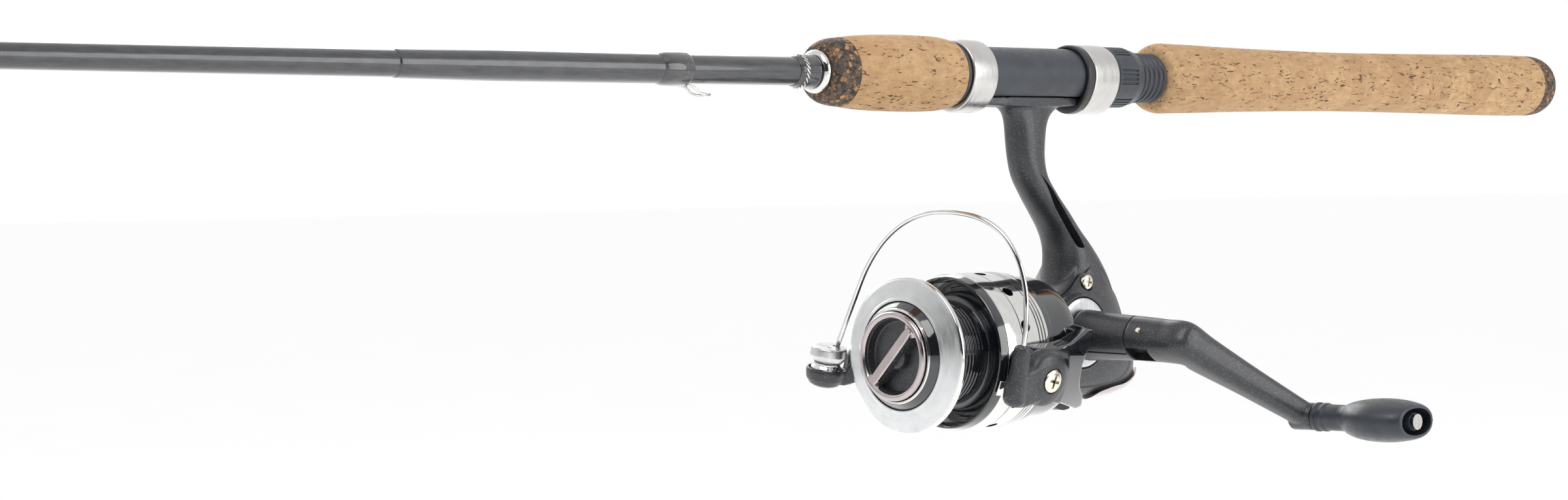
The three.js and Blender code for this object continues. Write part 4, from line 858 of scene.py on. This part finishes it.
def rotor_arm(side):
    """An arm cut from a curved wall round the spool."""
    low, high = (-34.5, -21) if side < 0 else (21, 34.5)
    obj = raw("arm", slab(arm_outline(), low, high))
    outside = [(-60, 31.6), (-42, 32.2), (-22, 33.2), (-5, 30.5), (0, 29)]
    carved(obj, spun(outside, 160), operation="INTERSECT")
    carved(obj, spun([(-61, 27.4), (-12.2, 27.4), (-11.8, 23.4)], 160))
    carved(obj, drum(-13.4, 1, 21.2, 96))
    return obj


def rotor():
    cup = [(-31, 22.2), (-31, 24), (-9, 24), (-6.4, 23.6), (-5, 22.8), (-5, 21.2), (-9, 19), (-12.7, 18.2)]
    cup += [(-12.7, 3.2), (-23, 3.2), (-23, 7), (-16.2, 8.5), (-16.2, 22.2)]
    obj = raw("rotor_shell", lathed(cup, 0.8, 128))
    merged(obj, rotor_arm(-1), rotor_arm(1))
    obj.data.transform(Matrix.Scale(1 / MM, 4))
    obj.data.transform(ROTOR)
    obj.data.transform(Matrix.Scale(MM, 4))
    fused(obj, 0.38, 8)
    carved(obj, drum(-40, 40, 1.9, 32), ROTOR @ PIVOT)
    finished(obj, "rotor", "gloss_black", ["rotor"], 45)


def pivot_dome(side):
    """The rounded disc of a bail arm over its pivot."""
    disc = [(37.9, AXIS), (37.8, 3), (37.3, 6), (36.2, 8.4), (34.6, 9.3), (32, 9.4)]
    rim = through([(side * x, r) for x, r in disc], 4) + [(side * 32, AXIS)]
    return moved(turned(rim, 96), PIVOT)


def swept(outline, centre, rows):
    """A rounded outline along Y. Rows are (y, its scale about the centre)."""
    x0, z0 = centre
    rings = []
    for y, grow in rows:
        rings.append([(x0 + (x - x0) * grow, y, z0 + (z - z0) * grow) for x, z in eased(outline, 2, True)])
    return bridged(rings)


def wire_arm():
    """The grey arm that holds one end of the bail wire."""
    lobe = arc(-36, 0, 7.6, 90, -90, 12)
    lobe += [(-45, -9.2), (-49, -8.4), (-50.8, -6), (-50.6, 1), (-47, 3.4), (-43, 4.4)]
    lobe = swept(lobe, (-43, -2), ((-32, 1.0), (-34, 1.0), (-35.6, 0.96), (-36.6, 0.88), (-37.1, 0.74)))
    post = [(-8.4, AXIS), (-8.3, 2.2), (-7, 3.3), (0, 3.2), (8, 2.9), (10.6, 2.75)]
    post += [(11.4, 2.3), (11.4, AXIS)]
    post = moved(turned(post, 64), along_z(-47.2, -34.4))
    obj = raw("wire_arm", joined(pivot_dome(-1), lobe, post), ROTOR)
    fused(obj, 0.32, 6)
    carved(obj, block((-60, -32.0, -20), (-30, -25, 20)), ROTOR)
    carved(obj, drum(-40, -37, 4.3, 64), ROTOR @ PIVOT)
    carved(obj, drum(8.4, 13, 1.15, 32), ROTOR @ along_z(-46.6, -34))
    finished(obj, "bail", "charcoal_paint", ["bail_arm_wire_side"], 45)


ROLLER = along_z(-60.2, 38.5)


def roller_arm():
    """The grey arm that ends in the roller's cup."""
    lobe = arc(-34, 0, 8.6, 90, -90, 12)
    lobe += [(-42, -14.5), (-52, -19.4), (-58, -20), (-58, -15), (-50, -5), (-42, 5)]
    lobe = swept(lobe, (-46, -7), ((32.2, 0.94), (33, 1.0), (35.4, 1.0), (36.6, 0.94), (37.4, 0.8)))
    cup = spun([(-21, 3.4), (-20.2, 5), (-18.4, 6.3), (-16, 6.7), (-14.8, 6.5)], 80)
    obj = raw("roller_arm", joined(pivot_dome(1), lobe, moved(cup, ROLLER)), ROTOR)
    fused(obj, 0.32, 6)
    clear = [(-16.9, 5.6), (-14.9, 5.9), (-14.7, 6.9), (16, 6.9)]
    carved(obj, spun(clear, 80), ROTOR @ ROLLER)
    carved(obj, drum(37, 40, 4.3, 64), ROTOR @ PIVOT)
    merged(obj, raw("pin", drum(-17, -9.8, 1.3, 32), ROTOR @ ROLLER))
    finished(obj, "bail", "charcoal_paint", ["bail_arm_roller_side"], 45)


def roller_and_cap():
    groove = [(-16.5, 1.6), (-16.5, 5.1), (-15.4, 5.35), (-14.6, 5.25), (-14.1, 4.9)]
    groove += [(-13.6, 4.5), (-13.1, 4.5), (-12.8, 4.8), (-12.7, 1.6)]
    form = lathed(groove, 0.2, 96)
    piece("roller_wheel", "roller", "polished_metal", form, ROTOR @ ROLLER, ["line_roller"])
    cap = [(-12.5, 1.7), (-12.5, 4.9), (-12, 5.4), (-10.6, 6.1), (-10.2, 6.15), (-7.9, 5.95)]
    cap += [(-7.5, 5.6), (-7.4, 5.2), (-7.4, AXIS), (-9.6, AXIS), (-9.6, 1.7)]
    obj = raw("roller_cap_body", turned(eased(cap, 0.3), 96), ROTOR @ ROLLER)
    carved(obj, drum(-9, -6, 1.2, 32), ROTOR @ along_z(-57.2, 38.3))
    carved(obj, block((-7.9, -0.9, -0.28), (-6, 0.9, 0.28)), ROTOR @ along_z(-61.6, 37.0))
    finished(obj, "bail", "silver_metal", ["roller_cap"], 30)


BAIL_WIRE = [
    (-46.6, -34, 9), (-46.5, -33.9, 12.5), (-46.1, -33, 19), (-46, -30, 29.7), (-46.4, -25, 38.2),
    (-47.2, -18.6, 44), (-48.5, -10.4, 47), (-50.2, 0.6, 47), (-52.2, 11.5, 44.2), (-53.6, 20, 38.8),
    (-54.7, 26.6, 31), (-55.5, 31.4, 21), (-56, 34.4, 9.6), (-56.6, 36.6, -0.5), (-57.2, 38.3, -9),
]


def bail():
    wire_arm()
    roller_arm()
    roller_and_cap()
    piece("bail_loop", "bail", "polished_metal", wire(BAIL_WIRE, 0.85, 12, 24), ROTOR, ["bail_wire"], 60)
    for side, turn in (("wire_side", 0), ("roller_side", math.pi)):
        place = ROTOR @ PIVOT @ Matrix.Rotation(turn, 4, "Y")
        cross_screw(side + "_screw", "bail", "bail_screw_" + side, place, -38.5, 3.75, 1.6)


# ---------------------------------------------------------------- spool and drag
def spool():
    front = [(-68.6, 15), (-68.6, 15.7), (-68.2, 16), (-66.2, 17.6), (-61.4, 17.6), (-61.4, 17)]
    ribs = []
    for k in range(12):
        x = -60.6 + 1.45 * k
        ribs += [(x, 17), (x + 0.5, 17.25), (x + 0.75, 17.25), (x + 1.2, 17)]
    rear = [(-43, 17), (-42.6, 17.8), (-42.5, 18.6), (-43.6, 21), (-44.6, 23), (-46, 24.5), (-45.6, 24.95)]
    rear += [(-44.6, 25.2), (-42.9, 25.6), (-20.4, 25.6), (-20, 25.2), (-20, 24.5), (-40, 24.5), (-41, 23)]
    rear += [(-40, 15), (-40, 12), (-44, 4.2), (-44, 2.1), (-56, 2.1), (-56, 15)]
    obj = raw("spool_shell", lathed(front + ribs + rear, 0.3, 160), SPIN)
    holes(obj)
    finished(obj, "spool", "gloss_black", ["spool_body"], 32)
    lip = [(-66.5, 17.7), (-66.6, 18.2), (-66.2, 18.9), (-64.5, 24.4), (-64.1, 25.1)]
    lip += [(-63.4, 25.5), (-62.4, 25.3), (-61.8, 24.6), (-61.7, 23.8), (-61.7, 17.7)]
    piece("lip_ring", "spool", "silver_metal", lathed(lip, 0.25, 160), SPIN, ["spool_lip"])
    edge = [(-64.25, 24.9), (-64.05, 25.3), (-63.4, 25.58), (-62.4, 25.4)]
    edge += [(-61.75, 24.7), (-61.75, 24.2), (-63, 24.2)]
    form = turned(through(edge, 4), 160, closed=True)
    piece("lip_edge", "spool", "polished_metal", form, SPIN)
    band()


HOLES = (-33, 2.0, 12)  # station, radius and how many


def holes(obj):
    """Round holes through the skirt."""
    x, r, count = HOLES
    drill = drum(20, 30, r, 32)
    for k in range(count):
        turn = Matrix.Rotation(2 * math.pi * (k + 0.35) / count, 4, "X")
        place = SPIN @ turn @ Matrix.Translation((x, 0, 0)) @ Matrix.Rotation(math.radians(-90), 4, "Y")
        carved(obj, drill, place)


BAND_LINES = ((-35.4, 0.22, 0.2), (-27.4, 0.3, 0.28), (-26, 0.3, 0.28), (-24.6, 0.3, 0.28))


def band():
    """The bright band round the skirt, with plain dark lines."""
    edge = [(-42.6, 25.4), (-42.6, 25.72), (-42.3, 25.8)]
    for x, w, _ in BAND_LINES:
        edge += [(x - w, 25.8), (x - w, 25.62), (x + w, 25.62), (x + w, 25.8)]
    edge += [(-23.3, 25.8), (-23, 25.72), (-23, 25.4)]
    obj = raw("skirt_band", turned(edge, 160, closed=True), SPIN)
    holes(obj)
    finished(obj, "spool", "polished_metal", sharp=30)
    for k, (x, _, w) in enumerate(BAND_LINES):
        line = [(x - w, 25.5), (x - w, 25.74), (x + w, 25.74), (x + w, 25.5)]
        piece("skirt_line_" + str(k), "spool", "gloss_black", turned(line, 160, closed=True), SPIN)


def line_clip():
    place = SPIN @ Matrix.Rotation(math.radians(24.5), 4, "X")
    rows = [(-45.9, 25.7, 26.3), (-45, 25.8, 26.8), (-42, 25.8, 27)]
    rows += [(-40.4, 25.8, 26.6), (-40.1, 25.75, 26.2)]
    rings = [[(x, -low, -2.5), (x, -high, -2.5), (x, -high, 2.5), (x, -low, 2.5)] for x, low, high in rows]
    obj = raw("clip_plate", bridged(rings), place)
    bevel = obj.modifiers.new("edge", "BEVEL")
    bevel.width = 0.25 * MM
    bevel.segments = 3
    finished(settled(obj), "spool", "polished_metal", ["line_clip"])


def drag_knob():
    cup = [(-63, 2.2), (-63, 13.9), (-69.4, 13.9), (-69.4, 12.3), (-69, 12)]
    cup += [(-66.6, 11.5), (-66.4, 11), (-66.4, 2.2)]
    hub = spun([(-66, 4.6), (-68.6, 4.2), (-69, 3.4)], 64, 0.5)
    obj = raw("knob_cup", joined(lathed(cup, 0.4, 128), hub), SPIN)
    finished(obj, "drag", "charcoal_paint", ["drag_knob"])
    tilt = SPIN @ Matrix.Rotation(math.radians(45), 4, "X")
    rows = [(-66, 2.9, 11.9), (-68, 2.5, 12.1), (-69.6, 2.0, 12.2), (-70.5, 1.6, 12.1)]
    fin = raw("knob_fin", bridged([level(x, 0, a, b, 5, 64) for x, a, b in rows]), tilt)
    finished(fin, "drag", "charcoal_paint")
    rows = [(-70.3, 1.75, 12.3), (-71, 1.7, 12.3), (-71.35, 1.3, 12.1)]
    ridge = raw("knob_ridge", bridged([level(x, 0, a, b, 6, 64) for x, a, b in rows]), tilt)
    for end in (-1, 1):
        rings = []
        for x, half, reach in ((-68.6, 3.4, 8.4), (-70.2, 3.6, 9.4), (-70.9, 1.7, 10.6)):
            outer, inner = end * 12.7, end * reach
            rings.append([(x, -half, outer), (x, half, outer), (x, 1.2, inner), (x, -1.2, inner)])
        merged(ridge, raw("wedge", bridged(rings), tilt))
    finished(ridge, "drag", "rose_metal")
    ring = [(-69.4, 12.2), (-70.2, 12.3), (-70.7, 12.8), (-70.85, 13.4)]
    ring += [(-70.6, 14.1), (-70.1, 14.45), (-69.3, 14.5)]
    piece("knob_rim", "drag", "rose_metal", lathed(ring, 0.2, 128), SPIN, ["drag_knob_ring"])
    bezel = [(-68.5, 14.5), (-69, 14.8), (-69, 15.3), (-68.5, 15.6)]
    piece("recess_ring", "spool", "polished_metal", turned(bezel, 128, closed=True), SPIN)


# ---------------------------------------------------------------- crank
DROOP = (math.sin(CRANK_TILT), -math.cos(CRANK_TILT))
REACH, ELBOW, SPREAD = 51.4, -57.0, 17.6


def crank_ring(y, half, droop):
    """A section of the crank across its pivot's axis."""
    centre = (droop * DROOP[0], y, droop * DROOP[1])
    return section(centre, (1, 0, 0), (0, 0, 1), half, half, 2.4, 72)


def shank():
    rows = [(-38.4, 7.05, 1.3), (-30, 7.4, 1.1), (-22, 7.85, 0.85), (-17.5, 8.1, 0.75), (-16.2, 7.8, 0.7)]
    rows = [(-38.6, 6.75, 1.3)] + through(rows, 6) + [(-15.9, 6.8, 0.6)]
    obj = raw("shank_body", bridged([crank_ring(*r) for r in rows]), CRANK)
    lines = []
    for height, out in ((0.2, 1.0), (-5.2, 1.08)):
        path = []
        for y, r, droop in rows[1:-1]:
            side = -math.sqrt(max(r * r - height * height, 1)) * out
            local = Matrix.Rotation(-CRANK_TILT, 4, "Y") @ Vector((side, 0, height))
            path.append((local.x + droop * DROOP[0], y, local.z + droop * DROOP[1]))
        lines.append(raw("line", wire(path, 0.16, 1, 8), CRANK))
    merged(obj, *lines)
    finished(obj, "drive", "charcoal_paint", ["crank_shank"], 40)


def arm():
    along = Vector((REACH, -SPREAD, 0)).normalized()
    across = (-along.y, along.x, 0)

    def arm_ring(share, width, height):
        centre = (REACH * share, ELBOW - SPREAD * share, -1.9 * (1 - share))
        return section(centre, across, (0, 0, 1), width, height, 3, 72)

    keys = [crank_ring(-38.9, 7.05, 1.3), crank_ring(-43, 7.0, 1.5)]
    keys += [crank_ring(-47, 6.9, 1.7), crank_ring(-52, 6.8, 2.0)]
    keys += [section((2.2, -59.2, -1.9), (0.9, 0.45, 0), (0, 0, 1), 7.2, 6.4, 2.8, 72)]
    keys += [arm_ring(0.18, 6, 5.8), arm_ring(0.5, 4.9, 4.9), arm_ring(0.86, 4, 4.2)]
    keys += [arm_ring(1.0, 3.6, 3.95), arm_ring(1.05, 3.0, 3.5), arm_ring(1.07, 1.8, 2.6)]
    flat = [[c for p in ring for c in p] for ring in keys]
    rings = [[tuple(r[i : i + 3]) for i in range(0, len(r), 3)] for r in through(flat, 7)]
    stem = spun([(-70, 4.6), (-76, 4.5), (-78, 4.5), (-78.6, 4.1), (-78.8, 3.4)], 64)
    stem = moved(stem, along_y(REACH, 0))
    obj = fused(raw("arm_body", joined(bridged(rings), stem), CRANK), 0.36, 4)
    carved(obj, block((-3.4, -48.3, -12), (3.4, -37, 1.15)), CRANK)
    tongue = raw("tongue", block((-3, -47.9, -5.4), (3, -36, 0.7)), CRANK)
    finished(tongue, "drive", "black_rubber")
    finished(obj, "crank", "charcoal_paint", ["crank_arm"], 40)
    seam = raw("shank_seam", bridged([crank_ring(-38.95, 6.7, 1.3), crank_ring(-38.5, 6.7, 1.3)]), CRANK)
    finished(seam, "drive", "black_rubber")


def fold_pin():
    pin = spun([(-7.0, 0.75), (-6.8, 0.95), (6.4, 0.95), (6.6, 0.8)], 40)
    place = CRANK @ Matrix.Translation((0, -44.8, -2.35))
    piece("pin_body", "crank", "brass", pin, place, ["fold_pin"])


def knob():
    wide = (math.cos(CRANK_TILT), 0, math.sin(CRANK_TILT))
    deep = (-math.sin(CRANK_TILT), 0, math.cos(CRANK_TILT))

    def oval(rows, per):
        """A smooth flattened form. Rows are (y, half width, half depth)."""
        rings = [section((REACH, y, 0), wide, deep, a, b, 2.2, 96) for y, a, b in through(rows, per)]
        return bridged(rings)

    rows = [(-89.6, 4.3, 4.25), (-91.4, 4.7, 4.4), (-94, 7.4, 5.4), (-99, 11, 6.5), (-105, 12.8, 7)]
    rows += [(-111, 12.4, 6.8), (-116, 10.6, 6), (-117.6, 9.4, 5.4), (-118, 8.7, 5)]
    obj = raw("knob_body", oval(rows, 7), CRANK)
    hollow = [(-107, 4.6, 3.2), (-110, 7.4, 4.3), (-114, 8.8, 4.75), (-118.4, 7.8, 4.3)]
    carved(obj, oval(hollow, 6), CRANK)
    neck = [(-79.2, 1.6), (-79.2, 4.6), (-79.6, 4.85), (-80.6, 4.8), (-80.9, 4.3), (-82, 4.3)]
    neck += [(-82.3, 4.7), (-83.5, 4.7), (-83.9, 4.3), (-91, 4.3), (-91, 1.6)]
    collar = raw("collar", lathed(neck, 0.2, 80), CRANK @ along_y(REACH, 0))
    tube = [(-117.2, 1.6), (-117.2, 2.8), (-116.9, 3), (-106, 3.1), (-106, 1.6)]
    tube = raw("tube", turned(tube, 64, closed=True), CRANK @ along_y(REACH, 0))
    seam = [(REACH + wide[0] * w, y, wide[2] * w) for y, w, _ in through(rows, 3)]
    ridge = raw("ridge", wire(seam, 0.14, 1, 8), CRANK)
    merged(obj, collar, tube, ridge)
    finished(obj, "knob", "seat_plastic", ["crank_knob"], 35)


# ---------------------------------------------------------------- CAD pieces that keep their shape
KEPT = {
    "near_crank_bearing": "stainless",
    "far_crank_bearing": "stainless",
    "pinion_bearing": "stainless",
    "drive_gear": "zinc",
    "oscillation_gear": "zinc",
    "main_shaft": "stainless",
    "crosswind_block": "brass",
    "pinion_gear": "brass",
    "bail_spring": "stainless",
    "rotor_nut": "brass",
    "drag_washer": "felt",
    "drag_spring": "stainless",
    "knob_axle": "stainless",
}


def inner_works():
    """The parts inside keep their CAD shape, with broken edges."""
    for name, look in KEPT.items():
        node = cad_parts[name]
        node.data.materials.clear()
        node.data.materials.append(LOOKS[look])
        edge = node.modifiers.new("edge", "BEVEL")
        edge.width = 0.12 * MM
        edge.segments = 1
        edge.limit_method = "ANGLE"
        edge.angle_limit = math.radians(40)


# ---------------------------------------------------------------- studio
def camera():
    data = bpy.data.cameras.new("camera")
    data.lens = 67.2
    data.sensor_width = 36
    data.clip_start = 0.01
    obj = bpy.data.objects.new("camera", data)
    bpy.context.scene.collection.objects.link(obj)
    # The axes and the place were fitted to the outline in the picture.
    back = Vector((-0.682, -0.731, 0.0184)).normalized()
    right = Vector((0.731, -0.682, -0.0197))
    right = (right - back * right.dot(back)).normalized()
    up = back.cross(right)
    turn = Matrix((right, up, back)).transposed().to_4x4()
    obj.matrix_world = Matrix.Translation((-0.7361, -0.6640, -0.0388)) @ turn
    bpy.context.scene.camera = obj


def lamp(name, place, target, size, power):
    data = bpy.data.lights.new(name, "AREA")
    data.shape = "RECTANGLE"
    data.size, data.size_y = size
    data.energy = power
    obj = bpy.data.objects.new(name, data)
    obj.location = place
    obj.rotation_euler = (Vector(target) - Vector(place)).to_track_quat("-Z", "Y").to_euler()
    bpy.context.scene.collection.objects.link(obj)


def studio():
    lamp("key", (-0.9, -0.5, 1.1), (0, 0, -0.05), (1.2, 0.8), 13)
    lamp("fill", (0.5, -1.3, 0.25), (0, 0, -0.05), (0.9, 0.9), 9)
    lamp("edge", (0.3, 1.2, 0.7), (0, 0, -0.05), (1.4, 0.8), 12)
    world = bpy.data.worlds.new("studio")
    bpy.context.scene.world = world
    world.use_nodes = True
    tree = world.node_tree
    sky = tree.nodes["Background"]
    sky.inputs["Strength"].default_value = 1.0
    coords = tree.nodes.new("ShaderNodeTexCoord")
    facing = tree.nodes.new("ShaderNodeVectorMath")
    facing.operation = "DOT_PRODUCT"
    facing.inputs[1].default_value = (-0.66, -0.72, -0.2)
    ramp = tree.nodes.new("ShaderNodeValToRGB")
    ramp.color_ramp.elements[0].position = 0.05
    ramp.color_ramp.elements[0].color = (1, 1, 1, 1)
    ramp.color_ramp.elements[1].position = 0.7
    ramp.color_ramp.elements[1].color = (0.05, 0.052, 0.055, 1)
    tree.links.new(coords.outputs["Generated"], facing.inputs[0])
    tree.links.new(facing.outputs["Value"], ramp.inputs["Fac"])
    tree.links.new(ramp.outputs["Color"], sky.inputs["Color"])
    far, ground = 60000, -330
    corners = [(-far, -far, ground), (far, -far, ground), (far, far, ground), (-far, far, ground)]
    floor = raw("floor", (corners, [(0, 1, 2, 3)]))
    floor.data.materials.append(LOOKS["floor"])
    bpy.context.scene.view_settings.view_transform = "Standard"


rod_blanks()
thread_wraps()
hook_keeper()
winding_check()
grips()
seat_tube()
hoods()
lock_nut()
for guide_name, guide_sizes in GUIDES.items():
    line_guide(guide_name, *guide_sizes)
tip_top()
reel_body()
body_fittings()
rotor()
bail()
spool()
line_clip()
drag_knob()
shank()
arm()
fold_pin()
knob()
inner_works()
camera()
studio()
